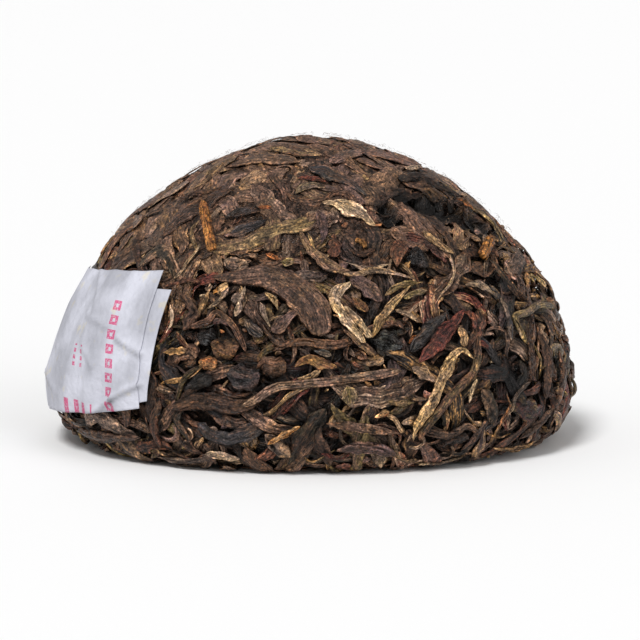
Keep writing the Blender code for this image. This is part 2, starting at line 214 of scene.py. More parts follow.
# What each noise does: from its low and high values to the numbers at them
STREAK_SHADE = (0.32, 0.68, 0.45, 1.65)
FIBRE_SHADE = (0.3, 0.7, 0.35, 1.7)
BARE_SHARE = (0.42, 0.58, 0.3, 1.1)
MOTTLE_SHADE = (0.32, 0.68, 0.5, 1.5)
SPECK_SHADE = (0.3, 0.7, 0.2, 1.95)
CREASE_SHARE = (0.4, 0.6, 0.2, 1.15)
SECOND_SHARE = (0.47, 0.55, 0, 0.8)
FLECK_SHARE = (0.56, 0.66, 0, 0.8)
HUE_SHARE = (0.42, 0.58, 0, 1)
LEAF_ROUGHNESS = (0, 1, 0.25, 0.6)
LEAF_SPECULAR = 0.34
# Painted shade in the fold valleys and creases
CREASE_PAINTED_SHADE = 0.8
LEAF_BUMP = 0.0008
FLECK_TINT = (1.95, 1.75, 1.5)
WARMTH = (1.02, 0.955, 0.905)
OCHRE_TINT = (1.03, 1.0, 0.87)
PLUM_TINT = (1.0, 0.97, 1.0)

# The paper material, with marks in millimetres from the sheet's front edge and above the floor
PAPER = (0.54, 0.545, 0.61)
CREAM = (0.66, 0.6, 0.46)
PRINT = (0.58, 0.035, 0.16)
MARK_COLUMN = 5.4
MARK_SLANT = 0.17
MARK_HALF = 1.2
MARK_START = 10.5
MARK_END = 31.5
MARK_PITCH = 2.63
SMALL_COLUMNS = (15.4, 18.2)
SMALL_MIDDLE = 19.3
BAND_COLUMN = 19.0
BAND_HALF = 6.5
BAND_PITCH = 3.7
BAND_TOP = 11.2
MARK_SHARE = 0.66
HOLE_HALF = 0.12
DASH_RATE = 0.8
DASH_SHARE = 0.6
DASH_REACH = 2.3
DASH_HALF = 0.45
CREAM_SHARE = (0.63, 0.72, 0, 0.55)
PRINT_SHARE = (0.35, 0.5, 0.35, 0.85)
CLOUD_SHADE = (0.35, 0.65, 0.74, 1.12)
PAPER_ROUGHNESS = 0.7
PAPER_SPECULAR = 0.25
PAPER_BUMP = 0.0003
PAPER_WAVES = ((0.5, 5.0, 31), (0.16, 1.7, 32))

# Stage: suns as name, azimuth, elevation, softness in degrees and power
SUNS = (("key", -22, 52, 18, 2.35), ("fill", 40, 25, 40, 0.6))
WORLD_STRENGTH = 0.42
FLOOR_SIZE = 12
FLOOR_COLOUR = (0.93, 0.93, 0.93, 1)
FLOOR_ROUGHNESS = 0.9
LENS = 226.4
SENSOR_WIDTH = 36
SHIFT_X = 0.0108
SHIFT_Y = -0.0367
CAMERA_ELEVATION = math.radians(7)
CAMERA_DISTANCE = 0.8
AIM_HEIGHT = 0.028
CLIP_END = 30


def to_linear(colour):
    """Linear light from a colour of 0 to 255."""
    share = np.array(colour) / 255
    return np.where(share > 0.04045, ((share + 0.055) / 1.055) ** 2.4, share / 12.92)


def smoothstep(low, high, value):
    share = np.clip((value - low) / (high - low), 0, 1)
    return share * share * (3 - 2 * share)


def between(pair, share):
    """The value at a share of the way from the first of a pair to the second."""
    return pair[0] + (pair[1] - pair[0]) * share


# Noise

NOISE_VALUES = np.random.default_rng(SEED).uniform(-1, 1, NOISE_SIZE)
NOISE_PRIMES = np.array([73856093, 19349663, 83492791])


def noise(points, size, seed=0):
    """Smooth noise from -1 to 1 in space, with lumps of this size."""
    grid = points / size
    whole = np.floor(grid).astype(np.int64)
    part = grid - whole
    part = part * part * (3 - 2 * part)
    total = np.zeros(points.shape[:-1])
    for corner in itertools.product((0, 1), repeat=3):
        corner = np.array(corner)
        keys = (whole + corner) * NOISE_PRIMES
        key = keys[..., 0] ^ keys[..., 1] ^ keys[..., 2] ^ (seed * 2654435)
        weight = np.prod(np.where(corner == 1, part, 1 - part), axis=-1)
        total += weight * NOISE_VALUES[key % NOISE_SIZE]
    return total


# The turned outline


def make_outline():
    """Points (r, z) of the outside, from the dome's top over the lip and the land to the hollow's top."""
    turn = np.linspace(0, math.pi / 2, CURVE_STEPS)
    dome_rise = HEIGHT - WIDEST_HEIGHT
    dome_z = WIDEST_HEIGHT + dome_rise * np.cos(turn) ** (2 / TOP_FULLNESS)
    dome = np.stack([RADIUS * np.sin(turn) ** (2 / SIDE_FULLNESS), dome_z], axis=1)
    lip_r = LAND_OUTER + (RADIUS - LAND_OUTER) * np.cos(turn)
    lip = np.stack([lip_r, WIDEST_HEIGHT * (1 - np.sin(turn))], axis=1)
    mouth_r = HOLLOW_RADIUS + (LAND_INNER - HOLLOW_RADIUS) * (1 - np.sin(turn))
    mouth = np.stack([mouth_r, MOUTH_HEIGHT * (1 - np.cos(turn))], axis=1)
    hollow_z = MOUTH_HEIGHT + (HOLLOW_DEPTH - MOUTH_HEIGHT) * np.sin(turn)
    hollow = np.stack([HOLLOW_RADIUS * np.cos(turn), hollow_z], axis=1)
    return np.concatenate([dome, lip[1:], mouth, hollow[1:]])


OUTLINE = make_outline()
OUTLINE_STEPS = np.diff(OUTLINE, axis=0)
OUTLINE_LENGTHS = np.concatenate([[0], np.cumsum(np.hypot(*OUTLINE_STEPS.T))])
LAND_START = OUTLINE_LENGTHS[2 * CURVE_STEPS - 2]
LAND_END = OUTLINE_LENGTHS[2 * CURVE_STEPS - 1]
LAND_MIDDLE = (LAND_START + LAND_END) / 2
OUTLINE_END = OUTLINE_LENGTHS[-1]


def outline_normals():
    """Outward directions (r, z) at the outline's points."""
    steps = OUTLINE_STEPS / np.hypot(*OUTLINE_STEPS.T)[:, None]
    directions = np.concatenate([steps[:1], steps[:-1] + steps[1:], steps[-1:]])
    directions /= np.hypot(*directions.T)[:, None]
    return np.stack([-directions[:, 1], directions[:, 0]], axis=1)


OUTLINE_NORMALS = outline_normals()


def on_outline(length):
    """Point (r, z) and outward direction (r, z) at lengths along the outline."""
    place = [np.interp(length, OUTLINE_LENGTHS, OUTLINE[:, axis]) for axis in (0, 1)]
    normal = [np.interp(length, OUTLINE_LENGTHS, OUTLINE_NORMALS[:, axis]) for axis in (0, 1)]
    return place, normal


def turned(radial, height, azimuth):
    """Points in space from distances to the axis, heights and azimuths."""
    return np.stack([radial * np.sin(azimuth), -radial * np.cos(azimuth), height + 0 * azimuth], axis=-1)


def level_directions(azimuths):
    """Level unit directions round the axis."""
    return np.stack([np.cos(azimuths), np.sin(azimuths), 0 * azimuths], axis=-1)


def nearest_lengths(flat):
    """Lengths along the outline of its points nearest to these (r, z)."""
    gaps = flat[:, None, :] - OUTLINE[:-1][None]
    along = (gaps * OUTLINE_STEPS).sum(axis=2) / (OUTLINE_STEPS**2).sum(axis=1)
    along = np.clip(along, 0, 1)
    misses = gaps - along[..., None] * OUTLINE_STEPS
    nearest = (misses**2).sum(axis=2).argmin(axis=1)
    fraction = along[np.arange(len(flat)), nearest]
    return OUTLINE_LENGTHS[nearest] + fraction * np.diff(OUTLINE_LENGTHS)[nearest]


def settle(points):
    """Nearest points on the turned outline, with their outward normals, lengths and azimuths."""
    flat = np.stack([np.hypot(points[..., 0], points[..., 1]), points[..., 2]], axis=-1)
    chunks = np.array_split(flat.reshape(-1, 2), flat.size // CHUNK + 1)
    lengths = np.concatenate([nearest_lengths(chunk) for chunk in chunks]).reshape(points.shape[:-1])
    azimuths = np.arctan2(points[..., 0], -points[..., 1])
    place, normal = on_outline(lengths)
    return turned(*place, azimuths), turned(*normal, azimuths), lengths, azimuths


def from_front(across, up):
    """Points on the dome or lip that show at these places from the front."""
    outside = OUTLINE_LENGTHS <= LAND_START
    radial = np.interp(-up, -OUTLINE[outside, 1], OUTLINE[outside, 0])
    return np.stack([across, -np.sqrt(np.maximum(radial**2 - across**2, 0)), up + 0 * across], axis=-1)


def roughness(heights, lengths):
    """0 where the leaves are pressed flat, 1 where they stand out."""
    outside = smoothstep(SMOOTH_ABOVE, ROUGH_BELOW, heights)
    return np.where(lengths < LAND_START, outside, HOLLOW_ROUGHNESS)


def dent_depth(points, spread=1):
    """How deep the dents go at these points, with their radii times the spread."""
    depth = np.zeros(points.shape[:-1])
    for across, up, radius, deep in DENTS:
        centre = from_front(np.array(across), np.array(up))
        distance = np.linalg.norm(points - centre, axis=-1)
        depth = np.maximum(depth, deep * np.exp(-((distance / radius / spread) ** 4)))
    return depth


def core_depth(points, lengths):
    """How far the core lies below the outline: least on the dome, more where the leaves are rough."""
    covered = SMOOTH_CORE + (ROUGH_CORE - SMOOTH_CORE) * roughness(points[..., 2], lengths)
    to_land = np.maximum(LAND_START - lengths, lengths - LAND_END)
    covered = covered + DENT_IN_CORE * dent_depth(points, DENT_SPREAD)
    return LAND_CORE + (covered - LAND_CORE) * smoothstep(0, LAND_RAMP, to_land)


def slip_edges(share):
    """Heights of the slip's top and bottom edges, from its back end at 0 to its front end at 1."""
    return between(SLIP_HEAD, share), between(SLIP_FOOT, share**SLIP_FOOT_CURVE)


def under_slip(points):
    """Whether the points lie under the slip or just beside it."""
    azimuth = np.arctan2(points[..., 0], -points[..., 1])
    share = (azimuth - SLIP_BACK) / (SLIP_FRONT - SLIP_BACK)
    head, foot = slip_edges(np.clip(share, 0, 1))
    spare = SLIP_MARGIN / (RADIUS * (SLIP_FRONT - SLIP_BACK))
    beside = (share > -spare) & (share < 1 + spare)
    return beside & (points[..., 2] > foot - SLIP_MARGIN) & (points[..., 2] < head + SLIP_MARGIN)


# The ceiling: how high a new leaf may lie at each place, on one map for the outside and one for the hollow


def map_places(lengths, azimuths):
    """Which map a place is on, and where on it, in cells."""
    inner = lengths > LAND_MIDDLE
    reach = np.where(inner, OUTLINE_END - lengths, lengths)
    spot = np.stack([reach * np.sin(azimuths), -reach * np.cos(azimuths)], axis=-1)
    return inner.astype(int), spot


def map_index(which, spot):
    """The index of places in the maps."""
    cell = np.clip(((spot + MAP_HALF) / CELL).astype(int), 0, MAP_SIDE - 1)
    return np.broadcast_to(which, cell.shape[:-1]), cell[..., 0], cell[..., 1]


def make_ceiling():
    """The mould's surface: nearly smooth on top, uneven lower down, sunk in the dents and under the slip."""
    side = (np.arange(MAP_SIDE) + 0.5) * CELL - MAP_HALF
    across, along = np.meshgrid(side, side, indexing="ij")
    reach = np.hypot(across, along)
    azimuths = np.arctan2(across, -along)
    layers = []
    for lengths in (np.minimum(reach, LAND_END), np.maximum(OUTLINE_END - reach, LAND_START)):
        place, _ = on_outline(lengths)
        points = turned(*place, azimuths)
        rough = roughness(points[..., 2], lengths)
        bumps = 0
        for size, flat, more, seed in MOULD_BUMPS:
            bumps = bumps + (flat + more * rough) * noise(points, size, seed)
        fuller = FULLER_RISE * np.exp(-(((azimuths - FULLER_SIDE) / FULLER_WIDTH) ** 2))
        fuller = fuller * smoothstep(0, FULLER_ABOVE, points[..., 2])
        level = bumps + ROUGH_RISE * rough - dent_depth(points) + fuller
        on_land = (lengths > LAND_START - LAND_MARGIN) & (lengths < LAND_END + LAND_MARGIN)
        level = np.where(on_land, np.minimum(level, 0.0), level)
        layers.append(np.where(under_slip(points), np.minimum(level - SLIP_SINK, -SLIP_ROOM), level))
    return np.array(layers)


# Leaves

ACROSS = np.array([-0.9, -0.45, 0, 0.45, 0.9])
SPLAT_ACROSS = np.linspace(-0.95, 0.95, 15)
SPLAT_ALONG = np.array([-0.33, 0, 0.33])


class Leaves:
    """A batch of leaves with the same number of stations along and points around."""

    def __init__(self, name, routes, looks, top_points, under_points):
        self.name = name
        self.looks = looks
        self.top_points = top_points
        self.under_points = under_points
        self.points, self.normals, self.lengths, self.azimuths = settle(routes)
        travel = np.gradient(self.points, axis=1)
        self.step = np.linalg.norm(travel, axis=-1)
        self.travel = travel / self.step[..., None]
        sideways = np.cross(self.normals, self.travel)
        self.sideways = sideways / np.linalg.norm(sideways, axis=-1)[..., None]
        self.count, self.stations = self.points.shape[:2]
        self.share = np.linspace(0, 1, self.stations)
        self.half_width = self.make_widths()
        shift = self.half_width * looks["ragged"][:, None] * self.along_noise(1.8, 14)
        self.points = self.points + self.sideways * shift[..., None]
        self.which, self.spot = map_places(self.lengths, self.azimuths)
        self.map_side = self.on_map(self.sideways)
        self.map_travel = self.on_map(self.travel)
        self.tops = np.zeros((self.count, self.stations, len(ACROSS)))
        self.kept = np.zeros(self.count, bool)
        self.levels = self.make_levels()
        self.deepest = looks["deepest"][:, None] - LEAVES_IN_DENT * dent_depth(self.points)
        self.held = np.abs(2 * self.share[None] - 1) <= looks["held"][:, None]

    def on_map(self, directions):
        """Unit directions on the surface as they run on the map."""
        inner = self.which == 1
        around = level_directions(self.azimuths)
        down = np.cross(around, self.normals)
        outward = np.stack([np.sin(self.azimuths), -np.cos(self.azimuths)], axis=-1)
        turning = around[..., :2]
        radial = np.hypot(self.points[..., 0], self.points[..., 1])
        reach = np.linalg.norm(self.spot, axis=-1)
        stretch = np.minimum(reach / np.maximum(radial, 0.1), 3)
        along = (directions * down).sum(axis=-1) * np.where(inner, -1, 1)
        across = (directions * around).sum(axis=-1) * stretch
        return outward * along[..., None] + turning * across[..., None]

    def along_noise(self, size, seed):
        """Noise along each leaf, different for every leaf."""
        return noise(self.points + self.looks["seed"][:, None, None] * 91.0, size, seed)

    def make_widths(self):
        """Half widths along each leaf: uneven, narrower where it turns over, with blunt or pointed ends."""
        looks = {name: value[:, None] for name, value in self.looks.items() if value.ndim == 1}
        place = 2 * self.share[None] - 1
        place = place + looks["lean"] * (1 - place**2)
        profile = (1 - np.abs(place) ** looks["blunt"]) ** looks["taper"]
        turned_over = np.sin(math.pi * looks["turns"] * self.share + looks["phase"]) ** 2
        uneven = 1 + looks["ragged"] * (self.along_noise(1.6, 12) + 0.7 * self.along_noise(0.7, 13))
        return looks["width"] / 2 * profile * (1 - looks["pinch"] * turned_over) * np.clip(uneven, 0.4, 1.6)

    def make_levels(self):
        """How high each leaf may lie by itself: its own level, with its tips tucked in."""
        place = np.abs(2 * self.share[None] - 1)
        looks = self.looks
        return looks["level"][:, None] - looks["tuck"][:, None] * place**5


def filtered_low(heights):
    """The lowest of each value and its neighbours along the leaf, then smoothed."""
    for _ in range(2):
        ends = np.concatenate([heights[:1], heights, heights[-1:]])
        heights = np.minimum(np.minimum(ends[:-2], ends[1:-1]), ends[2:])
    for _ in range(3):
        ends = np.concatenate([heights[:1], heights, heights[-1:]])
        heights = (ends[:-2] + ends[1:-1] + ends[2:]) / 3
    return heights


def lay(leaves, index, ceiling, surface, covered, least_shown):
    """Lays one leaf under those laid before, if enough of it shows."""
    side = leaves.map_side[index]
    spot = leaves.spot[index]
    half = leaves.half_width[index]
    which = leaves.which[index]
    offsets = (half[:, None] * ACROSS)[..., None] * side[:, None]
    here = map_index(which[:, None], spot[:, None] + offsets)
    heights = ceiling[here]
    if (~covered[here]).mean() < least_shown:
        return False
    heights = np.minimum(heights, leaves.levels[index][:, None] + np.minimum(heights, 0) * 0.5)
    drape = leaves.looks["drape"][index]
    stiff = heights.min(axis=1, keepdims=True)
    heights = stiff + (heights - stiff) * drape
    heights = filtered_low(heights)
    heights = np.maximum(heights, leaves.deepest[index][:, None])
    leaves.tops[index] = heights
    leaves.kept[index] = True
    thick = leaves.looks["thickness"][index]
    held = leaves.held[index]
    along = (leaves.step[index][held, None] * SPLAT_ALONG)[..., None] * leaves.map_travel[index][held, None]
    across = (half[held, None] * SPLAT_ACROSS)[..., None] * side[held, None]
    spots = spot[held, None, None] + along[:, :, None] + across[:, None]
    here = map_index(which[held, None, None], spots)
    middle = np.stack([np.interp(SPLAT_ACROSS, ACROSS, row) for row in heights[held]])
    floor = middle - 0.75 * thick * (1 - SPLAT_ACROSS**4)
    np.minimum.at(ceiling, here, np.broadcast_to(floor[:, None], here[0].shape))
    crown = np.broadcast_to((middle - 0.6 * thick * SPLAT_ACROSS**4)[:, None], here[0].shape)
    fresh = ~covered[here]
    surface[tuple(part[fresh] for part in here)] = crown[fresh]
    covered[here] = True
    return True


def section(top_points, under_points):
    """Places across a leaf's section, from -1 to 1, over the top and back along the underside."""
    even = np.linspace(-1, 1, top_points)
    top = (even + np.sin(even * math.pi / 2)) / 2
    under = np.linspace(1, -1, under_points + 2)[1:-1]
    return np.concatenate([top, under]), np.arange(top_points + under_points) < top_points


def fold_path(looks, offset, share):
    """Counts the folds across a leaf: spiral on rolled leaves, branching from the midrib on flat ones."""
    wobble = 0.25 * np.sin(share * 7 + looks["phase"]) + 0.12 * np.sin(share * 19 + 2 * looks["phase"])
    rolled = looks["folds"] * offset / 2 + looks["twist"] * share + wobble + looks["phase"]
    veined = looks["folds"] * (np.abs(offset) - 0.4 * share * looks["veins"])
    return rolled + (veined - rolled) * looks["flat"]


def leaf_mesh(leaves, surface):
    """Vertices, faces and attributes of every leaf kept in a batch."""
    kept = leaves.kept
    offset, on_top = section(leaves.top_points, leaves.under_points)
    around = len(offset)
    looks = {name: value[kept][:, None, None] for name, value in leaves.looks.items() if value.ndim == 1}
    share = leaves.share[None, :, None] + 0 * offset
    across = offset[None, None] + 0 * leaves.share[None, :, None]
    half = leaves.half_width[kept][..., None]
    centre = leaves.points[kept][:, :, None]
    side = leaves.sideways[kept][:, :, None]
    points, normals, lengths, azimuths = settle(centre + side * (across * half)[..., None])
    weights = np.stack([np.interp(offset, ACROSS, row) for row in np.eye(len(ACROSS))])
    tops = leaves.tops[kept] @ weights
    taper = np.clip((half / (looks["width"] / 2)) ** 0.7, 0.05, 1)
    thick = looks["thickness"] * taper
    ridge = across + looks["skew"] * (1 - across**2)
    bulge = (1 - np.abs(ridge) ** looks["power"] * 0.999) ** (1 / looks["power"])
    bulge = bulge + (1 - np.abs(ridge) - bulge) * looks["roof"]
    path = fold_path(looks, across, share)
    valley = (1 - np.abs(np.sin(math.pi * path))) ** 1.4
    midrib = np.exp(-((across / 0.09) ** 2)) * looks["flat"]
    cut = looks["fold_depth"] * taper * valley * np.where(np.abs(across) < 0.95, 1, 0.3)
    lift = looks["curl"] * np.sign(looks["lean"] + 0.01) * across**3 * taper
    upper = tops - thick * (1 - bulge) - cut + 0.10 * midrib + lift
    lower = tops - thick * (1 + looks["belly"] * bulge) + lift * 0.8
    heights = np.where(on_top, upper, lower)
    seeded = points + looks["seed"][..., None] * 37.0
    heights = heights + looks["lumps"] * (noise(seeded, 1.3, 3) + 0.6 * noise(seeded, 0.55, 4))
    vertices = points + normals * heights[..., None]
    vertices[..., 2] = np.maximum(vertices[..., 2], 0.02)
    # The tints carry painted shade in the gaps and dents and a painted highlight on crests, times random
    # tone
    shade = painted_cavity_shade(heights, points, lengths, azimuths, surface)
    shade = shade * (1 + 0.16 * noise(seeded, 0.8, 6) + 0.14 * noise(seeded, 2.4, 7))
    rim = looks["rim"] * np.exp(-(((np.abs(across) - RIM_PLACE) / RIM_WIDTH) ** 2))
    # Darker at the very edges, pale rims near them, and painted shade on the whole underside
    shade = shade * (1 - EDGE_DARKNESS * np.abs(across) ** 12 + rim) * np.where(on_top, 1, UNDERSIDE_PAINTED_SHADE)
    none = 0 * path
    attributes = {
        "tint": leaves.looks["colour"][kept][:, None, None] * shade[..., None],
        "second": leaves.looks["second"][kept][:, None, None] * shade[..., None],
        "grain": np.stack([share * looks["length"], across * half, none + 53 * looks["seed"]], axis=-1),
        "folds": np.stack([path, none + looks["crease"] * taper, none + looks["gloss"]], axis=-1),
    }
    attributes = {name: with_tips(values).reshape(-1, 3) for name, values in attributes.items()}
    vertices = with_tips(vertices)
    faces = tube_faces(leaves.stations - 2, around)[None]
    faces = faces + (np.arange(len(vertices)) * vertices.shape[1])[:, None, None]
    return vertices.reshape(-1, 3), faces.reshape(-1, 3), attributes


def painted_cavity_shade(heights, points, lengths, azimuths, surface):
    """Painted shade: darker where a place lies below its surroundings, deeper below the outline or in a
    dent, with a painted highlight, a little lighter, on crests.
    """
    which, spot = map_places(lengths, azimuths)
    above = heights - surface[map_index(which, spot)]
    rough = roughness(points[..., 2], lengths)
    least = LEAST_PAINTED_SHADE - ROUGH_PAINTED_SHADE * rough
    shade = least + (1 - least) * smoothstep(-0.5 - 0.7 * rough, 0.02, above)
    shade = shade + CREST_PAINTED_HIGHLIGHT * smoothstep(0.1, 0.8, above)
    dark = 1 + DENT_PAINTED_SHADE * dent_depth(points, 1.2)
    return shade * (1 - 0.7 * smoothstep(1.1, 2.8, -heights)) / dark


def with_tips(values):
    """Ring values with one value for each tip, in the order of a leaf's vertices."""
    tips = values[:, [0, -1]].mean(axis=2)
    rings = values[:, 1:-1]
    return np.concatenate([rings.reshape(len(values), -1, values.shape[-1]), tips], axis=1)


def tube_faces(stations, around):
    """Triangles of a closed tube of rings with a tip at each end."""
    ring = np.arange(around)
    after = (ring + 1) % around
    first = stations * around
    last = first + 1
    faces = [np.stack([np.full(around, first), after, ring], axis=1)]
    for station in range(stations - 1):
        here = station * around
        above = here + around
        faces.append(np.stack([here + ring, here + after, above + after], axis=1))
        faces.append(np.stack([here + ring, above + after, above + ring], axis=1))
    end = (stations - 1) * around
    faces.append(np.stack([np.full(around, last), end + ring, end + after], axis=1))
    return np.concatenate(faces)


def make_object(name, vertices, faces, attributes):
    """A smooth mesh in metres, with its attributes on the vertices."""
    mesh = bpy.data.meshes.new(name)
    mesh.vertices.add(len(vertices))
    mesh.vertices.foreach_set("co", (vertices * MM).ravel())
    sides = faces.shape[1]
    mesh.loops.add(faces.size)
    mesh.loops.foreach_set("vertex_index", faces.ravel())
    mesh.polygons.add(len(faces))
    mesh.polygons.foreach_set("loop_start", np.arange(len(faces)) * sides)
    mesh.polygons.foreach_set("loop_total", np.full(len(faces), sides))
    mesh.update(calc_edges=True)
    mesh.validate()
    mesh.polygons.foreach_set("use_smooth", np.ones(len(mesh.polygons), bool))
    for label, values in attributes.items():
        layer = mesh.attributes.new(label, "FLOAT_VECTOR", "POINT")
        layer.data.foreach_set("vector", values.ravel())
    item = bpy.data.objects.new(name, mesh)
    bpy.context.scene.collection.objects.link(item)
    return item


# Routes


def smooth_route(corners, count):
    """Evenly spaced points on a smooth curve through the corners."""
    corners = np.array(corners)
    padded = np.concatenate([2 * corners[:1] - corners[1:2], corners, 2 * corners[-1:] - corners[-2:-1]])
    share = np.linspace(0, 1, ROUTE_SAMPLES, endpoint=False)[:, None]
    pieces = []
    for before, start, end, after in zip(padded, padded[1:], padded[2:], padded[3:]):
        linear = end - before
        square = 2 * before - 5 * start + 4 * end - after
        cube = 3 * (start - end) + after - before
        pieces.append(start + 0.5 * share * (linear + share * (square + share * cube)))
    dense = np.concatenate([*pieces, corners[-1:]])
    travelled = np.concatenate([[0], np.cumsum(np.linalg.norm(np.diff(dense, axis=0), axis=1))])
    even = np.linspace(0, travelled[-1], count)
    return np.stack([np.interp(even, travelled, dense[:, axis]) for axis in range(dense.shape[1])], axis=1)


def wander(starts, headings, turns, lengths):
    """Routes over the surface from the starts, each turning by its own amounts at every step."""
    stations = turns.shape[1] + 1
    step = (lengths / (stations - 1))[:, None]
    point, normal, _, azimuths = settle(starts)
    level = level_directions(azimuths)
    upward = np.cross(normal, level)
    direction = np.cos(headings)[:, None] * level + np.sin(headings)[:, None] * upward
    route = [point]
    for turn in turns.T:
        turn = turn[:, None]
        direction = np.cos(turn) * direction + np.sin(turn) * np.cross(normal, direction)
        point, normal, _, _ = settle(point + step * direction)
        direction = direction - normal * (normal * direction).sum(axis=-1, keepdims=True)
        direction /= np.linalg.norm(direction, axis=-1, keepdims=True)
        route.append(point)
    return np.stack(route, axis=1)


def scattered_places(draw, count, start, end):
    """Random places on the turned outline between two lengths, evenly by area."""
    lengths = np.linspace(start, end, 600)
    radial = on_outline(lengths)[0][0]
    area = np.concatenate([[0], np.cumsum((radial[1:] + radial[:-1]) / 2)])
    chosen = np.interp(draw.uniform(0, area[-1], count), area, lengths)
    place, _ = on_outline(chosen)
    return turned(*place, draw.uniform(-math.pi, math.pi, count)), chosen


def grain_field(places):
    """The way the leaves lie at each place: in swirls, and level near the rim."""
    swirl = 1.7 * noise(places, 17.0, 8) + 0.9 * noise(places, 8.0, 9)
    rim = smoothstep(20, 6, places[..., 2])
    return swirl * (1 - 0.6 * rim)


# What every kind of leaf is like, unless the kind says otherwise. Ranges are drawn evenly, count is the
# most that are laid, bend is in degrees, and where_flat and where_rough are the shares of its candidates
# kept where the cake is flat or rough
STRIP = dict(
    stations=19, top=10, under=3, power=(1.8, 3.4), folds=(1.5, 3.6), fold_depth=(0.16, 0.4),
    twist=(-1.4, 1.4), bend=95, blunt=(1.8, 5), taper=(0.4, 1.0), turns=(0.6, 2.6), pinch=(0, 0.5),
    ragged=(0.12, 0.34), flat=0, drape=0.8, belly=0.4, lumps=0.14, curl=(0, 0.25), tuck=(0.5, 1.6),
    crease=(0.5, 1), held=(0.55, 0.9), roof=(0, 0.8), skew=(-0.5, 0.5), rim=(0, 1.5),
    where_flat=0.35, where_rough=1,
)
SECOND_COLOURS = (
    "tan", "ochre", "red_brown", "grey", "purple", "olive", "dark", "black", "grey_brown", "brown", "dark",
    "grey",
)
KINDS = {
    "pressed_leaves": STRIP | dict(
        count=330, stations=18, top=11, under=3, length=(7, 19), width=(3.0, 6.4), thickness=(0.26, 0.42),
        power=(4, 8), folds=(1.6, 4.0), fold_depth=(0.06, 0.16), twist=(-0.2, 0.2), bend=50, blunt=(1.8, 5),
        pinch=(0, 0.2), ragged=(0.06, 0.26), flat=1, drape=1, belly=0.2, lumps=0.07, curl=(0, 0.06),
        tuck=(0.2, 0.5), crease=(0.3, 0.8), held=(0.5, 0.8), roof=(0, 0.1), skew=(-0.2, 0.2), rim=(0, 0.6),
        where_flat=1, where_rough=0.05,
        colours=(
            "grey_brown", "brown", "dark", "purple", "brown", "grey", "red_brown", "olive_black", "tan",
            "brown",
        ),
    ),
    "dark_strips": STRIP | dict(
        count=400, length=(9, 28), width=(2.2, 5.0), thickness=(0.4, 0.8),
        colours=("black", "olive_black", "dark", "dark", "brown", "purple", "blue_black", "dark_red"),
    ),
    "brown_strips": STRIP | dict(
        count=400, length=(8, 26), width=(1.8, 4.4), thickness=(0.4, 0.85),
        colours=("brown", "grey_brown", "red_brown", "brown", "olive", "grey", "dark", "brown"),
    ),
    "thin_strips": STRIP | dict(
        count=260, stations=18, top=7, length=(6, 20), width=(0.7, 1.4), thickness=(0.4, 0.8),
        folds=(1.2, 2.4), fold_depth=(0.05, 0.15), bend=120, lumps=0.06, where_flat=0.6,
        colours=("brown", "grey", "dark", "grey_brown", "tan", "olive", "black", "red_brown", "ochre"),
    ),
    "tan_strips": STRIP | dict(
        count=100, length=(5, 17), width=(0.9, 2.2), thickness=(0.45, 0.9), folds=(1.6, 3.4),
        fold_depth=(0.08, 0.2), lumps=0.08, where_flat=0.5,
        colours=("tan", "ochre", "ochre", "tan", "grey", "grey", "olive"),
    ),
    "shards": STRIP | dict(
        count=800, stations=10, top=7, under=2, length=(2.2, 7), width=(1.0, 3.0), thickness=(0.3, 0.8),
        power=(2, 4), folds=(1.4, 3.5), fold_depth=(0.08, 0.22), bend=70, blunt=(1.6, 5),
        ragged=(0.15, 0.4), drape=0.6, belly=0.4, curl=(0, 0.15), tuck=(0.05, 0.4), held=(0.8, 1),
        where_flat=1,
        colours=(
            "brown", "dark", "olive_black", "grey_brown", "red_brown", "tan", "ochre", "purple", "grey",
        ),
    ),
    "crumbs": STRIP | dict(
        count=700, stations=6, top=5, under=2, length=(0.8, 2.2), width=(0.5, 1.3), thickness=(0.3, 0.6),
        folds=(1, 2), fold_depth=(0.02, 0.08), bend=40, ragged=(0.1, 0.3), tuck=(0, 0.2), held=(1, 1),
        where_flat=1,
        colours=(
            "brown", "dark", "grey_brown", "red_brown", "tan", "gold", "orange", "purple", "grey", "pale",
        ),
    ),
}
LATER = {"shards": 0.5, "crumbs": 0.9}
RANGES = (
    "length", "width", "thickness", "power", "folds", "fold_depth", "twist", "blunt", "taper", "turns",
    "pinch", "ragged", "curl", "tuck", "crease", "held", "roof", "skew", "rim",
)


def draw_looks(draw, kind, count, rough):
    """The looks of each leaf of a kind."""
    looks = {name: draw.uniform(*kind[name], count) for name in RANGES}
    for name in ("flat", "drape", "belly", "lumps"):
        looks[name] = np.full(count, float(kind[name]))
    looks["lean"] = draw.uniform(-0.3, 0.3, count)
    looks["phase"] = draw.uniform(0, 6.28, count)
    looks["seed"] = draw.uniform(0, 1, count)
    looks["veins"] = draw.uniform(2, 4, count)
    looks["gloss"] = draw.uniform(0, 1, count)
    pressed = 1 - rough
    looks["width"] = looks["width"] * (1 + 0.4 * pressed * (1 - looks["flat"]))
    looks["thickness"] = looks["thickness"] * (1 - 0.45 * pressed)
    looks["drape"] = np.maximum(looks["drape"], pressed)
    looks["curl"] = looks["curl"] * rough
    looks["crease"] = looks["crease"] * (1 - 0.4 * pressed)
    looks["deepest"] = -0.8 - 2.2 * rough
    table = np.array([to_linear(COLOURS[name]) for name in kind["colours"]])
    gain = draw.uniform(*GAINS, (count, 1))
    gain = gain + (PRESSED_GAIN - gain) * (PRESSED_EVENNESS * pressed)[:, None]
    for name in ("colour", "second"):
        chosen = table[draw.integers(0, len(table), count)] * gain
        dusty = to_linear(COLOURS["grey_brown"])
        looks[name] = chosen + (dusty - chosen) * (DUST * pressed)[:, None]
        table = np.array([to_linear(COLOURS[other]) for other in SECOND_COLOURS])
    return looks


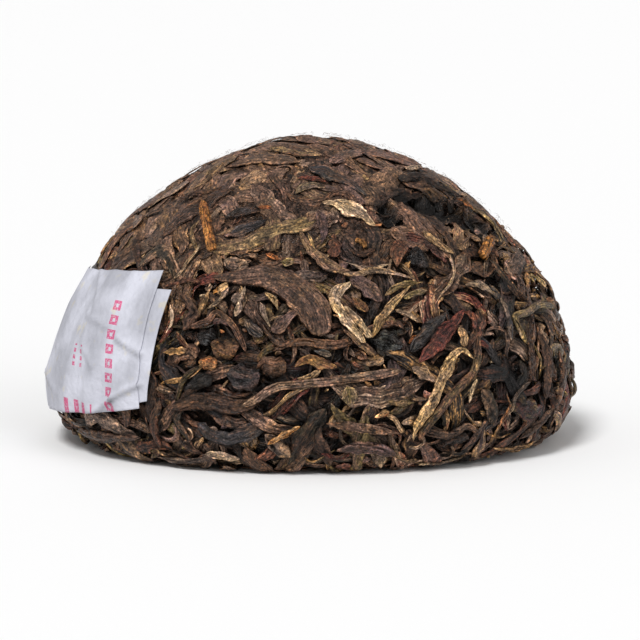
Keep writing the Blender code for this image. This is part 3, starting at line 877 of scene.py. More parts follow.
def cover_leaves(draw, name, kind):
    """Candidates of one kind all over the cake, more than are laid."""
    count = kind["count"] * CANDIDATES
    places, lengths = scattered_places(draw, count, 0, OUTLINE_END)
    rough = roughness(places[:, 2], lengths)
    wanted = kind["where_flat"] + (kind["where_rough"] - kind["where_flat"]) * rough
    liked = draw.uniform(0, 1, count) < wanted
    places = places[liked]
    rough = rough[liked]
    count = len(places)
    looks = draw_looks(draw, kind, count, rough)
    headings = grain_field(places) + draw.normal(0, HEADING_SPREAD, count)
    steady = draw.uniform(-1, 1, (count, 1)) * math.radians(kind["bend"])
    waves = draw.uniform(-1, 1, (count, 1)) * math.radians(kind["bend"])
    share = np.linspace(0, 1, kind["stations"] - 1)[None]
    wave = np.sin(share * draw.uniform(3, 9, (count, 1)) + looks["phase"][:, None])
    turns = (steady + 2 * waves * wave) / (kind["stations"] - 1)
    hook = draw.uniform(0, 1, (count, 1)) < HOOK_SHARE
    turns = turns + hook * share**4 * HOOK_TURN * 4 / (kind["stations"] - 1)
    looks["level"] = draw.uniform(*FLAT_LEVELS, count) + rough * draw.uniform(*ROUGH_LEVELS, count)
    routes = wander(places, headings, turns, looks["length"])
    leaves = Leaves(name, routes, looks, kind["top"], kind["under"])
    leaves.limit = kind["count"]
    return leaves


def shown_leaves(draw):
    """The leaves placed one by one, as in the photograph."""
    count = len(SHOWN_LEAVES)
    kind = STRIP | dict(
        length=(1, 1), width=(1, 1), thickness=(1, 1), blunt=(1.6, 4), taper=(0.6, 1.1), pinch=(0, 0.45),
        ragged=(0.14, 0.28), tuck=(0.1, 0.6), held=(1, 1), colours=("brown",),
    )
    routes = []
    looks = draw_looks(draw, kind, count, np.ones(count))
    looks["level"] = np.zeros(count)
    for number, (shape, width, top, first, second, corners) in enumerate(SHOWN_LEAVES.values()):
        corners = np.array(corners, float)
        route = smooth_route(from_front(corners[:, 0], corners[:, 1]), SHOWN_STATIONS)
        routes.append(route)
        looks["length"][number] = np.linalg.norm(np.diff(route, axis=0), axis=1).sum()
        looks["width"][number] = width
        looks["level"][number] = top
        looks["colour"][number] = to_linear(COLOURS[first]) * SHOWN_GAIN
        looks["second"][number] = to_linear(COLOURS[second]) * SHOWN_GAIN * SHOWN_SECOND_GAIN
        for name, value in SHAPES[shape].items():
            looks[name][number] = value * (width if name in ("thickness", "fold_depth") else 1)
    looks["deepest"] = np.full(count, SHOWN_DEEPEST)
    return Leaves("shown_leaves", np.array(routes), looks, 13, 5)



# Thickness and fold depth are shares of the width
SHAPES = {
    "strip": dict(thickness=0.36, fold_depth=0.10),
    "broad": dict(
        thickness=0.2, fold_depth=0.03, crease=0.12, lean=-0.55, ragged=0.08, blunt=3, taper=0.5, pinch=0,
        power=3, roof=0.1, skew=0.2, held=1,
    ),
    "flat": dict(
        thickness=0.09, fold_depth=0.025, flat=1, drape=1, power=6, belly=0.2, crease=0.4, blunt=2.2,
        roof=0, skew=0,
    ),
    "stem": dict(
        thickness=0.5, fold_depth=0.08, folds=3, blunt=14, power=2, twist=0.1, pinch=0, roof=0, skew=0,
        ragged=0.07, tuck=0.1,
    ),
    "ball": dict(
        thickness=0.42, fold_depth=0.12, blunt=2, taper=0.5, power=2, folds=2.5, twist=0.5, tuck=0.1,
        pinch=0, lumps=0.5, crease=0.5, roof=0.3, ragged=0.3, rim=0.2,
    ),
}

# Shape, width, highest level, two colours, then the route: across and up as seen from the front
SHOWN_LEAVES = {
    "red_bit": ("strip", 1.6, 0.3, "orange", "dark_red", ((-10.5, 49), (-8, 49))),
    "low_red_bit": ("strip", 1.2, 0.3, "orange", "red_brown", ((-9, 41), (-6.5, 40))),
    "greenish_patch": ("flat", 2.4, 0.2, "olive", "grey", ((-6, 39.5), (-3.5, 39.5))),
    "gold_streak": ("strip", 0.9, 0.3, "gold", "ochre", ((-1, 44.5), (0, 42.5), (0.5, 41.5))),
    "small_gold_curl": ("stem", 0.8, 0.4, "amber", "ochre", ((8, 43.5), (9.5, 43), (10, 42))),
    "red_curl": ("strip", 1.4, 0.2, "dark_red", "red_brown", ((-3, 54), (0, 54), (3, 53))),
    "blue_grey_chip": ("flat", 1.4, 0.5, "blue_grey", "grey", ((0, 24), (2, 23.5), (3.5, 23))),
    "gold_piece": ("strip", 0.9, 0.3, "amber", "ochre", ((-18, 35), (-19, 33.5))),
    "tan_tip": ("strip", 1.8, 0.4, "tan", "gold", ((27.5, 27), (28.5, 25.5), (28.5, 23.5))),
    "pale_tip": ("strip", 1.1, 0.5, "pale", "tan", ((31, 17.5), (30, 15.5), (29.5, 13))),
    "pale_edge": ("strip", 1.0, 0.4, "pale", "grey", ((-27.5, 31.5), (-27, 28.5), (-28, 26))),
    "left_diagonal": ("stem", 0.9, 0.4, "pale", "tan", ((-27, 36), (-24, 39), (-21.5, 42))),
    "left_streak": ("strip", 1.0, 0.2, "tan", "brown", ((-17.5, 55.5), (-20.5, 53), (-23.5, 51))),
    "broad_dark_leaf": (
        "broad", 6.6, 0.6, "dark", "grey_brown",
        ((-22, 36.3), (-17, 36.8), (-12, 37.3), (-7.5, 37.2), (-3, 34.6), (0.5, 30.8), (1.5, 26.5)),
    ),
    "curled_bud": (
        "strip", 2.7, 0.6, "pale", "gold",
        ((7.2, 36.2), (4.1, 34), (5.6, 30.6), (8.2, 27.4), (9.8, 25.2)),
    ),
    "bud_strand": ("stem", 1.5, 0.8, "pale", "tan", ((5.8, 32), (8.4, 29.6), (11, 26.2))),
    "bud_arm": ("strip", 2.0, 0.7, "gold", "ochre", ((18.4, 35), (15.4, 32.4), (12.8, 29.6), (11.2, 26.2))),
    "golden_strip": (
        "strip", 2.8, 1.0, "gold", "tan",
        ((30.4, 21), (27.7, 23), (24.6, 18.3), (22.9, 14), (20, 10), (18.7, 6.6)),
    ),
    "olive_stem": (
        "stem", 2.0, 0.5, "brown", "olive",
        ((31.4, 25.5), (30.8, 19), (26.5, 15), (21.7, 9.2), (19.9, 6.6)),
    ),
    "red_strip": ("strip", 3.4, 0.3, "dark_red", "red_brown", ((28.8, 30.2), (24.8, 26), (19.8, 21.2))),
    "black_strip": ("strip", 3.4, 0.3, "blue_black", "dark", ((25.3, 30), (22, 26.6), (18.3, 23.3))),
    "long_stem": (
        "stem", 1.8, 0.8, "grey_brown", "grey",
        ((16.6, 20), (6.3, 18.8), (-1.7, 18), (-7, 17.3), (-11, 14.8), (-13.6, 13.4)),
    ),
    "thick_twist": (
        "strip", 3.6, 0.7, "dark", "brown",
        ((-27, 12.6), (-21, 14), (-13.6, 13.5), (-9.5, 16.4)),
    ),
    "tan_flat_leaf": ("flat", 4.6, 0.15, "pale", "tan", ((1.7, 50.1), (6.5, 49), (12, 45.8))),
    "orange_stem": ("stem", 2.2, 0.4, "amber", "orange", ((-21.6, 49.5), (-20.5, 45.4), (-19.4, 41.2))),
    "orange_stub": ("stem", 2.4, 0.3, "amber", "orange", ((35, 41.8), (34, 40.4), (33, 39))),
    "orange_tip": ("strip", 1.8, 0.5, "orange", "ochre", ((28, 49), (29.6, 48), (31.4, 46.6))),
    "pink_chip": ("strip", 1.2, 0.4, "pale", "dark_red", ((18, 54.6), (19.5, 54.5), (21.6, 54.2))),
    "tendril": (
        "stem", 1.5, 0.7, "olive", "grey",
        ((40.6, 22.3), (39.8, 24.8), (38.7, 27.6), (41.4, 28), (43.6, 28.7), (46.8, 27.6)),
    ),
    "pale_upright": ("strip", 1.7, 0.4, "grey", "pale", ((-12.8, 35.2), (-13.7, 32.7), (-14.7, 29.8))),
    "bent_stem": (
        "stem", 1.3, 0.5, "brown", "grey_brown",
        ((-23.5, 27.5), (-20, 29), (-18.5, 30.5), (-16.5, 29.5), (-15, 28), (-13.5, 25.5), (-12.5, 23.5)),
    ),
    "yellow_leaf": ("strip", 2.0, 0.3, "amber", "gold", ((-8.6, 6.2), (-5.8, 7.9), (-2.4, 9.9))),
    "whitish_leaf": ("flat", 2.4, 0.3, "pale", "grey", ((-20.4, 3.6), (-17, 3.4), (-13.7, 3.2))),
    "grey_bud": ("strip", 3.6, 0.5, "grey", "tan", ((-9, 8.4), (-6.7, 5.6), (-4.3, 3.8))),
    "big_curl": (
        "strip", 2.3, 0.6, "dark", "grey_brown",
        ((20.5, 11.5), (22, 8.5), (26, 7), (29, 8.5), (31, 7), (30, 4.5)),
    ),
    "round_leaf": ("strip", 4.4, 0.4, "olive_black", "grey_brown", ((32, 15.5), (34.5, 11.5), (34.5, 8))),
    "pale_strip": ("strip", 1.4, 0.5, "tan", "orange", ((37, 14), (37.5, 11), (35.5, 7.5))),
    "thin_arc": ("stem", 0.9, 0.6, "grey", "pale", ((41.5, 15.5), (39, 13), (38, 10.5), (36, 8.5))),
    "ochre_ball": ("ball", 5.2, 0.7, "brown", "ochre", ((-19.4, 25.0), (-16.7, 24.6), (-14.0, 24.2))),
    "blue_black_ball": (
        "ball", 5.8, 0.7, "blue_black", "purple",
        ((-16.2, 19.3), (-13.1, 19.2), (-10.0, 19.1)),
    ),
    "middle_ball": ("ball", 5.0, 0.5, "brown", "grey_brown", ((-11, 20.5), (-8.5, 21), (-5, 21))),
    "dark_ball": ("ball", 3.2, 0.4, "black", "blue_grey", ((-22.0, 26.2), (-20.5, 26.0), (-19.0, 25.8))),
    "black_ball": ("ball", 4.6, 0.5, "black", "blue_black", ((19.3, 41.6), (20.4, 40.0), (20.9, 38.0))),
    "folded_ball": ("ball", 4.4, 0.6, "black", "blue_grey", ((11, 26.5), (14, 26), (17, 24.5))),
    "ochre_chunk": ("ball", 3.2, 0.5, "ochre", "orange", ((-21.6, 21.4), (-19.9, 21.2), (-18.2, 21.0))),
    "dark_blade": ("strip", 4.4, 0.3, "olive_black", "brown", ((-4.7, 2.0), (-2.1, 7.4), (2.4, 13.3))),
    "low_strip": ("strip", 2.4, 0.5, "grey_brown", "brown", ((2.4, 10.5), (9.1, 9.2), (16.3, 8.2))),
    "lower_strip": ("strip", 2.6, 0.3, "purple", "brown", ((4.3, 5.0), (9.9, 5.2), (15.7, 3.7))),
    "left_low_strip": ("strip", 3.2, 0.2, "dark", "grey_brown", ((-46.3, 3.9), (-39.9, 4.1), (-32.8, 5.8))),
    "left_blade": ("strip", 3.4, 0.2, "dark", "red_brown", ((-29.2, 13.7), (-30.4, 8.8), (-29.0, 3.4))),
    "left_twist": ("strip", 2.8, 0.3, "olive_black", "brown", ((-24.0, 15.1), (-26.0, 10.2), (-23.1, 6.5))),
    "side_leaf": ("strip", 3.0, 0.1, "dark", "brown", ((-26.0, 33.7), (-23.2, 31.3), (-24.7, 26.8))),
    "right_leaf": ("strip", 3.6, 0.2, "dark", "brown", ((43.8, 24.4), (46.2, 18.5), (45.3, 11.2))),
    "far_right_leaf": ("strip", 3.2, 0.1, "brown", "dark", ((48.5, 19.6), (49.3, 13.8), (47.5, 8.5))),
    "s_leaf": (
        "strip", 1.8, 0.3, "brown", "grey_brown",
        ((-5.5, 52), (-3.5, 50.5), (-0.5, 50), (2, 50.5), (4, 51.5), (6.5, 51.5), (8, 50), (10.5, 47)),
    ),
    "veined_leaf": (
        "flat", 2.8, 0.2, "grey_brown", "tan",
        ((-2.5, 45), (-1, 42.5), (1, 40.5), (4, 38.6), (7, 38)),
    ),
    "long_strand": (
        "strip", 1.5, 0.3, "grey", "tan",
        ((1, 40), (7, 37.6), (11.5, 38.2), (15.5, 37.3), (20, 36)),
    ),
    "brown_curl": ("strip", 1.6, 0.3, "brown", "dark", ((7, 41.5), (9.5, 41), (12, 42))),
    "grey_strand": ("strip", 1.2, 0.3, "grey", "pale", ((6, 39.5), (10.5, 38.5), (14.5, 39))),
    "right_pale_strip": ("strip", 2.2, 0.3, "tan", "grey", ((21, 44.5), (23.5, 42.5), (27, 40))),
    "dark_ridge": (
        "strip", 2.8, 0.6, "black", "dark",
        ((16.5, 53.3), (20.5, 53.3), (24.8, 51.2), (29, 49)),
    ),
    "left_ridge": (
        "strip", 1.5, 0.3, "dark", "brown",
        ((-26, 48.5), (-23.5, 50.5), (-20.5, 51), (-17.5, 52)),
    ),
    "brown_arch": (
        "strip", 1.4, 0.3, "brown", "red_brown",
        ((-29, 34.5), (-26, 35.5), (-23, 36), (-21.5, 35.5)),
    ),
    "brown_diagonal": ("strip", 1.6, 0.3, "brown", "tan", ((-19.5, 34.5), (-21.5, 31), (-23.5, 28))),
    "grey_diagonal": ("strip", 1.4, 0.3, "grey", "pale", ((-16, 35), (-18, 32.5), (-20, 31))),
    "middle_strip": ("strip", 1.5, 0.4, "grey", "pale", ((-10, 32.5), (-9, 30), (-8, 28))),
    "yellow_curl": ("strip", 1.2, 0.4, "gold", "olive", ((-9, 34), (-7.5, 33), (-6.5, 31))),
    "dark_curl": ("strip", 1.3, 0.4, "dark", "black", ((-12.5, 35.5), (-10, 36), (-8.5, 35.5), (-7, 35))),
    "grey_fold": (
        "flat", 3.2, 0.3, "grey_brown", "purple",
        ((-8, 27.5), (-6, 28.5), (-4, 30.5), (-2.5, 31.5)),
    ),
    "dark_fold": ("strip", 2.4, 0.2, "blue_black", "grey", ((-13, 29.5), (-11.5, 28), (-9.5, 26.5))),
    "purple_leaf": ("flat", 1.8, 0.1, "purple", "dark_red", ((-19, 28.5), (-17.5, 29), (-15.5, 28.5))),
    "pink_twist": ("strip", 1.4, 0.3, "red_brown", "tan", ((-26, 26.5), (-25, 25), (-23, 23.5))),
    "ochre_flat": ("flat", 2.0, 0.1, "ochre", "tan", ((-28.5, 22.5), (-26, 23), (-24, 23))),
    "dark_oval": ("ball", 3.0, 0.2, "black", "blue_black", ((-24, 16.5), (-21.5, 18), (-19, 18.5))),
    "pink_ochre_leaf": (
        "flat", 2.2, 0.2, "ochre", "red_brown",
        ((-3.5, 21), (-1, 22.5), (2.5, 21.5), (4.5, 21)),
    ),
    "yellow_low": ("strip", 1.5, 0.3, "gold", "tan", ((-3, 19), (-1, 19), (1.5, 20.5))),
    "olive_arm": ("strip", 1.6, 0.5, "olive", "tan", ((13.5, 33.5), (16, 35), (18.5, 35.5), (21, 35.5))),
    "low_olive_arm": ("strip", 1.3, 0.5, "olive", "grey", ((17, 33), (19, 33.5), (21.5, 34))),
    "pale_line": ("strip", 1.0, 0.4, "grey", "pale", ((15.5, 31), (18, 30), (20, 28.5))),
    "orange_streak": ("strip", 1.5, 0.3, "orange", "ochre", ((18, 25), (20, 26), (21.5, 27))),
    "red_shiny": ("strip", 1.9, 0.5, "dark_red", "red_brown", ((29, 30), (30.5, 28.5), (30.5, 26.5))),
    "pink_bit": ("strip", 1.0, 0.3, "dark_red", "tan", ((31.5, 24.5), (33.5, 22.5))),
    "yellow_grey_leaf": ("flat", 2.8, 0.2, "tan", "grey", ((18.5, 20.5), (21, 19), (23.5, 17.5))),
    "speckled_leaf": ("flat", 2.2, 0.2, "grey", "pale", ((29, 34.5), (32, 34), (34.5, 32.5))),
    "right_blue_strip": ("strip", 2.2, 0.4, "blue_black", "grey", ((36, 31.5), (37.5, 28), (38, 23.5))),
    "right_dark_strip": ("strip", 2.4, 0.4, "dark", "black", ((40.5, 26.5), (42, 21), (42, 15.5))),
    "upper_right_strip": ("strip", 2.0, 0.4, "olive_black", "brown", ((34, 38.5), (37, 34.5), (40, 30.5))),
    "olive_square": ("flat", 3.2, 0.2, "olive", "grey", ((6.5, 17.5), (7, 15.5), (7, 13.5))),
    "orange_bud": ("strip", 1.6, 0.3, "orange", "gold", ((11.5, 11.5), (13, 12), (14.5, 12.5))),
    "olive_green_leaf": ("strip", 1.4, 0.3, "olive", "tan", ((14, 14.5), (16, 14), (19, 14))),
    "dark_low_oval": ("ball", 2.8, 0.3, "black", "dark", ((24.5, 5), (27, 6), (29.5, 6))),
    "hook_ring": (
        "stem", 0.8, 0.5, "grey", "tan",
        ((17.5, 6.5), (19.5, 7.5), (21, 6.5), (19.5, 5), (18, 5.5)),
    ),
    "yellow_rim": ("strip", 1.0, 0.3, "tan", "ochre", ((34.5, 3), (39, 2), (43.5, 2.5))),
    "pale_rim": ("stem", 0.7, 0.3, "pale", "grey", ((20, 1), (24.5, 1), (28.5, 2))),
    "red_rim": ("strip", 1.4, 0.2, "dark_red", "brown", ((1.5, 4.5), (4.5, 3.5), (7.5, 4.5))),
    "right_low_strip": ("strip", 2.6, 0.3, "dark", "grey_brown", ((39.5, 4), (43.5, 6), (47, 9))),
    "middle_leaf": ("strip", 3.0, 0.2, "dark", "grey_brown", ((-10.9, 32.8), (-9.0, 28.4), (-5.2, 24.9))),
    "grey_oval": ("flat", 2.6, 0.1, "grey", "olive", ((-3.5, 51.5), (-1, 52.5), (2.5, 52.5))),
    "purple_panel": ("flat", 2.2, 0.1, "purple", "dark", ((1, 48.5), (2, 45), (1.5, 42.5))),
    "red_flat_leaf": ("flat", 2.8, 0.1, "red_brown", "brown", ((4, 44.5), (4, 42.5), (4, 40.5))),
    "dusty_red_leaf": ("flat", 3.8, 0.1, "red_brown", "grey_brown", ((17.5, 43), (16, 41), (16, 38.5))),
    "purple_broad": ("flat", 3.8, 0.1, "purple", "grey_brown", ((7, 37), (9, 36), (11, 34.5), (13, 32.5))),
    "ochre_inside": ("flat", 2.0, 0, "ochre", "red_brown", ((7.5, 33.5), (9, 32), (10.5, 31))),
    "top_gold_leaf": ("flat", 3.4, 0.1, "brown", "gold", ((-8.5, 58.5), (-2.5, 58), (1.5, 57.5))),
    "dark_flat_leaf": (
        "flat", 5.0, 0.05, "blue_black", "brown",
        ((-1, 56), (2.5, 55), (6, 53.5), (10.5, 51)),
    ),
    "dark_blue_leaf": (
        "flat", 3.5, 0.05, "blue_black", "grey_brown",
        ((-16, 44), (-13.5, 45), (-10.5, 46), (-9, 47)),
    ),
    "dark_panel": ("flat", 2.8, 0.05, "dark", "blue_black", ((-17, 47), (-13.5, 48), (-10, 48.5))),
    "top_leaf": ("flat", 5.0, 0.02, "grey_brown", "brown", ((-17.2, 55.2), (-10.3, 56.8), (-2.5, 56.7))),
    "upper_left_leaf": ("flat", 5.4, 0.02, "dark", "brown", ((-29.5, 42.8), (-22.8, 48.4), (-15.1, 52.2))),
}


# Materials


class Graph:
    """A new material and its nodes, each added with what it works on."""

    def __init__(self, name):
        self.material = bpy.data.materials.new(name)
        self.material.use_nodes = True
        self.nodes = self.material.node_tree.nodes
        self.links = self.material.node_tree.links
        self.shader = self.nodes["Principled BSDF"]

    def feed(self, socket, value):
        """Sets a socket to a number or a colour, or links it to another node's output."""
        if isinstance(value, (int, float)):
            socket.default_value = value
        elif isinstance(value, tuple):
            socket.default_value = (*value, 1)
        else:
            self.links.new(value, socket)

    def math(self, operation, first, *others):
        """One operation over values in turn, each a number or an output."""
        for other in others:
            node = self.nodes.new("ShaderNodeMath")
            node.operation = operation
            self.feed(node.inputs[0], first)
            self.feed(node.inputs[1], other)
            first = node.outputs[0]
        return first

    def product(self, *values):
        return self.math("MULTIPLY", *values)

    def total(self, *values):
        return self.math("ADD", *values)

    def minus(self, *values):
        return self.math("SUBTRACT", *values)

    def noise(self, vector, scale, detail):
        node = self.nodes.new("ShaderNodeTexNoise")
        node.inputs["Scale"].default_value = scale
        node.inputs["Detail"].default_value = detail
        self.links.new(vector, node.inputs["Vector"])
        return node.outputs["Fac"]

    def ramp(self, value, *numbers):
        """A value between low and high turned to one between start and end."""
        node = self.nodes.new("ShaderNodeMapRange")
        for name, number in zip(("From Min", "From Max", "To Min", "To Max"), numbers):
            node.inputs[name].default_value = number
        self.links.new(value, node.inputs["Value"])
        return node.outputs["Result"]

    def scaled(self, vector, factor):
        """A colour or vector times a value or three numbers."""
        node = self.nodes.new("ShaderNodeVectorMath")
        if isinstance(factor, tuple):
            node.operation = "MULTIPLY"
            node.inputs[1].default_value = factor
        else:
            node.operation = "SCALE"
            self.links.new(factor, node.inputs["Scale"])
        self.links.new(vector, node.inputs[0])
        return node.outputs[0]

    def mixed(self, share, first, second):
        """A colour between two others."""
        node = self.nodes.new("ShaderNodeMix")
        node.data_type = "RGBA"
        self.links.new(share, node.inputs[0])
        self.feed(node.inputs[6], first)
        self.feed(node.inputs[7], second)
        return node.outputs[2]

    def attribute(self, name):
        node = self.nodes.new("ShaderNodeAttribute")
        node.attribute_name = name
        return node.outputs["Vector"]

    def parts(self, name):
        """The three numbers of an attribute."""
        node = self.nodes.new("ShaderNodeSeparateXYZ")
        self.links.new(self.attribute(name), node.inputs[0])
        return node.outputs

    def place(self):
        return self.nodes.new("ShaderNodeTexCoord").outputs["Object"]

    def valley(self, path, sharpness):
        """1 in the valley of each fold and 0 on its ridge."""
        turn = self.math("SINE", self.product(path, math.pi), 0)
        return self.math("POWER", self.minus(1, self.math("ABSOLUTE", turn, 0)), sharpness)

    def finish(self, colour, specular, height, distance):
        """Connects the colour and the bumps, and gives the material."""
        node = self.nodes.new("ShaderNodeBump")
        node.inputs["Strength"].default_value = 1
        node.inputs["Distance"].default_value = distance
        self.links.new(height, node.inputs["Height"])
        self.links.new(node.outputs["Normal"], self.shader.inputs["Normal"])
        self.links.new(colour, self.shader.inputs["Base Color"])
        self.shader.inputs["Specular IOR Level"].default_value = specular
        return self.material


def leaf_material():
    """Dry leaf: grain along it, painted shade in the creases of its folds, and patches and specks of other
    tones.
    """
    graph = Graph("tea leaf")
    product, total, minus, ramp = graph.product, graph.total, graph.minus, graph.ramp
    grain = graph.attribute("grain")
    path, strength, gloss = graph.parts("folds")
    place = graph.place()
    noises = [graph.noise(graph.scaled(grain, size), 1.0, detail) for size, detail in GRAIN_NOISES]
    streaks, fibres, blots, patches = noises
    specks, flecks, mottle, bare, hues = (graph.noise(place, *numbers) for numbers in SPACE_NOISES)
    strength = product(strength, ramp(patches, *CREASE_SHARE))
    bent = total(path, product(streaks, 0.4), product(blots, 2.2))
    crease = product(graph.valley(bent, 3), strength)
    fine = product(graph.valley(total(product(bent, 2.7), product(blots, 3)), 4), product(strength, 0.5))
    wide = product(graph.valley(bent, 1.3), strength)
    second = ramp(total(product(blots, 0.5), product(streaks, 0.5)), *SECOND_SHARE)
    colour = graph.mixed(second, graph.attribute("tint"), graph.attribute("second"))
    colour = graph.mixed(ramp(flecks, *FLECK_SHARE), colour, graph.scaled(colour, FLECK_TINT))
    grained = minus(product(ramp(streaks, *STREAK_SHADE), ramp(fibres, *FIBRE_SHADE)), 1)
    shade = product(
        total(product(grained, ramp(bare, *BARE_SHARE)), 1),
        ramp(mottle, *MOTTLE_SHADE),
        ramp(specks, *SPECK_SHADE),
        # Painted shade in the fold valleys and creases, a little lighter between them
        minus(1.06, product(wide, CREASE_PAINTED_SHADE)),
        minus(1, product(crease, CREASE_PAINTED_SHADE)),
        minus(1, product(fine, CREASE_PAINTED_SHADE)),
    )
    colour = graph.scaled(colour, WARMTH)
    ochre = graph.scaled(colour, OCHRE_TINT)
    colour = graph.mixed(ramp(hues, *HUE_SHARE), ochre, graph.scaled(colour, PLUM_TINT))
    graph.links.new(ramp(gloss, *LEAF_ROUGHNESS), graph.shader.inputs["Roughness"])
    height = total(product(streaks, 0.9), product(fibres, 0.45), product(specks, 0.35))
    height = minus(height, crease, product(fine, 0.6))
    return graph.finish(graph.scaled(colour, shade), LEAF_SPECULAR, height, LEAF_BUMP)


def paper_material():
    """Pale paper with cream flecks, a column of small plain squares and a broken band near the foot."""
    graph = Graph("slip paper")
    math_of, product, minus = graph.math, graph.product, graph.minus
    inward, height, shadow = graph.parts("sheet")

    def near(value, centre, half):
        return math_of("LESS_THAN", math_of("ABSOLUTE", minus(value, centre), 0), half)

    middle = (MARK_START + MARK_END) / 2
    square = math_of("FRACT", math_of("DIVIDE", minus(height, MARK_START), MARK_PITCH), 0)
    slanted = minus(inward, product(height, MARK_SLANT))
    marks = product(near(slanted, MARK_COLUMN, MARK_HALF), math_of("LESS_THAN", square, MARK_SHARE))
    hole = product(near(slanted, MARK_COLUMN, MARK_HALF / 3), near(square, MARK_SHARE / 2, HOLE_HALF))
    marks = product(minus(marks, hole), near(height, middle, middle - MARK_START))
    bars = math_of("LESS_THAN", math_of("FRACT", math_of("DIVIDE", inward, BAND_PITCH), 0), 0.5)
    band = product(near(inward, BAND_COLUMN, BAND_HALF), math_of("LESS_THAN", height, BAND_TOP))
    marks = math_of("MAXIMUM", marks, product(band, bars))
    for column in SMALL_COLUMNS:
        dashes = math_of("LESS_THAN", math_of("FRACT", product(height, DASH_RATE), 0), DASH_SHARE)
        dashes = product(dashes, near(height, SMALL_MIDDLE, DASH_REACH), near(slanted, column, DASH_HALF))
        marks = math_of("MAXIMUM", marks, dashes)
    place = graph.place()
    flecks, worn, cloud = (
        graph.ramp(graph.noise(place, size, detail), *numbers)
        for size, detail, numbers in ((300, 2, CREAM_SHARE), (2600, 2, PRINT_SHARE), (110, 3, CLOUD_SHADE))
    )
    colour = graph.mixed(flecks, PAPER, CREAM)
    colour = graph.mixed(product(marks, worn), colour, PRINT)
    # Painted shadow below each crease, and a faint painted highlight above it
    shade = product(cloud, minus(1, product(shadow, 0.9)))
    graph.shader.inputs["Roughness"].default_value = PAPER_ROUGHNESS
    bumps = graph.noise(place, 900, 3)
    return graph.finish(graph.scaled(colour, shade), PAPER_SPECULAR, bumps, PAPER_BUMP)


# The whole


def make_core():
    """The rough inside of the cake, seen between the leaves, dark with painted shade."""
    lengths = np.linspace(0, OUTLINE_END, CORE_ROWS + 2)[1:-1]
    azimuths = np.linspace(-math.pi, math.pi, CORE_COLUMNS, endpoint=False)
    length, azimuth = np.meshgrid(lengths, azimuths, indexing="ij")
    place, normal = on_outline(length)
    points = turned(*place, azimuth)
    depth = core_depth(points, length)
    for size, height in CORE_LUMPS:
        depth = depth - height * noise(points, size, 20) * np.clip(depth, 0, 1)
    vertices = points - turned(*normal, azimuth) * depth[..., None]
    vertices[..., 2] = np.maximum(vertices[..., 2], 0.3)
    tips = np.array([(0, 0, HEIGHT - SMOOTH_CORE), (0, 0, HOLLOW_DEPTH + SMOOTH_CORE)])
    rows = vertices.reshape(-1, 3)
    faces = tube_faces(CORE_ROWS, CORE_COLUMNS)[:, ::-1]
    everything = np.concatenate([rows, tips])
    # Dark tea with random tone, and painted shade for the gaps: lighter where the leaves are pressed flat,
    # darker in the dents
    shade = CORE_TONE_AND_PAINTED_SHADE * (1 + 0.7 * noise(everything, 0.9, 21))
    pressed = 1 - roughness(everything[:, 2], np.append(length.ravel(), [0, OUTLINE_END]))
    shade = shade * (1 + 1.6 * pressed) / (1 + 2 * dent_depth(everything, DENT_SPREAD))
    colours = to_linear(COLOURS["dark"]) * shade[:, None]
    grain = np.stack([np.append(azimuth.ravel(), [0, 0]) * 45, everything[:, 2], everything[:, 0]], axis=1)
    attributes = {"tint": colours, "second": colours * 0.6, "grain": grain, "folds": everything * 0 + 0.5}
    return make_object("core", everything, faces, attributes)


def crease_heights(around, up):
    """How far the slip's creases lift it at places in millimetres round and up, and their painted shadow,
    with a faint painted highlight on the upper side.
    """
    lift = np.zeros(around.shape)
    shadow = np.zeros(around.shape)
    spot = np.stack([around, up], axis=-1)
    for start, end, height in CREASES:
        start, end = (np.array((math.radians(turn) * RADIUS, level)) for turn, level in (start, end))
        along = np.clip(((spot - start) @ (end - start)) / ((end - start) ** 2).sum(), 0, 1)
        offset = spot - start - along[..., None] * (end - start)
        gap = np.linalg.norm(offset, axis=-1)
        lift = lift + 1.8 * height * np.exp(-gap / 0.7)
        below = 0.35 - 0.65 * np.tanh(offset[..., 1] / 0.5)
        shadow = shadow + height * below * np.exp(-((gap - 0.4) ** 2) / 0.3)
    return lift, shadow


def paper_layer(azimuth, height, lift, inward):
    """One thin closed layer over a grid of places on the dome."""
    outside = slice(2 * CURVE_STEPS - 1)
    lengths = np.interp(-height, -OUTLINE[outside, 1], OUTLINE_LENGTHS[outside])
    place, normal = on_outline(lengths)
    points = turned(*place, azimuth)
    normals = turned(*normal, azimuth)
    around = azimuth * RADIUS
    stretched = np.stack([around, 0.35 * height, 0 * height], axis=-1)
    level = lift
    for rise, size, seed in PAPER_WAVES:
        level = level + rise * noise(stretched, size, seed)
    creased, shadow = crease_heights(around, height)
    level = level + creased
    inner = points + normals * level[..., None]
    outer = points + normals * (level + PAPER_THICKNESS)[..., None]
    columns, rows = azimuth.shape
    index = np.arange(columns * rows).reshape(columns, rows)
    rim = np.concatenate([index[:-1, 0], index[-1, :-1], index[:0:-1, -1], index[0, :0:-1]])
    cells = np.stack([index[:-1, :-1], index[1:, :-1], index[1:, 1:], index[:-1, 1:]], axis=-1)
    cells = cells.reshape(-1, 4)
    below = cells[:, ::-1] + columns * rows
    after = np.roll(rim, -1)
    sides = np.stack([after, rim, rim + columns * rows, after + columns * rows], axis=1)
    vertices = np.concatenate([outer.reshape(-1, 3), inner.reshape(-1, 3)])
    sheet = np.stack([inward, height, shadow], axis=-1).reshape(-1, 3)
    quads = np.concatenate([cells, below, sides])
    faces = np.concatenate([quads[:, :3], quads[:, [0, 2, 3]]])
    return vertices, fix_winding(vertices, faces), np.concatenate([sheet, sheet])


def unit_grid(columns, rows):
    """Shares from 0 to 1 along and up a sheet."""
    return np.meshgrid(np.linspace(0, 1, columns), np.linspace(0, 1, rows), indexing="ij")


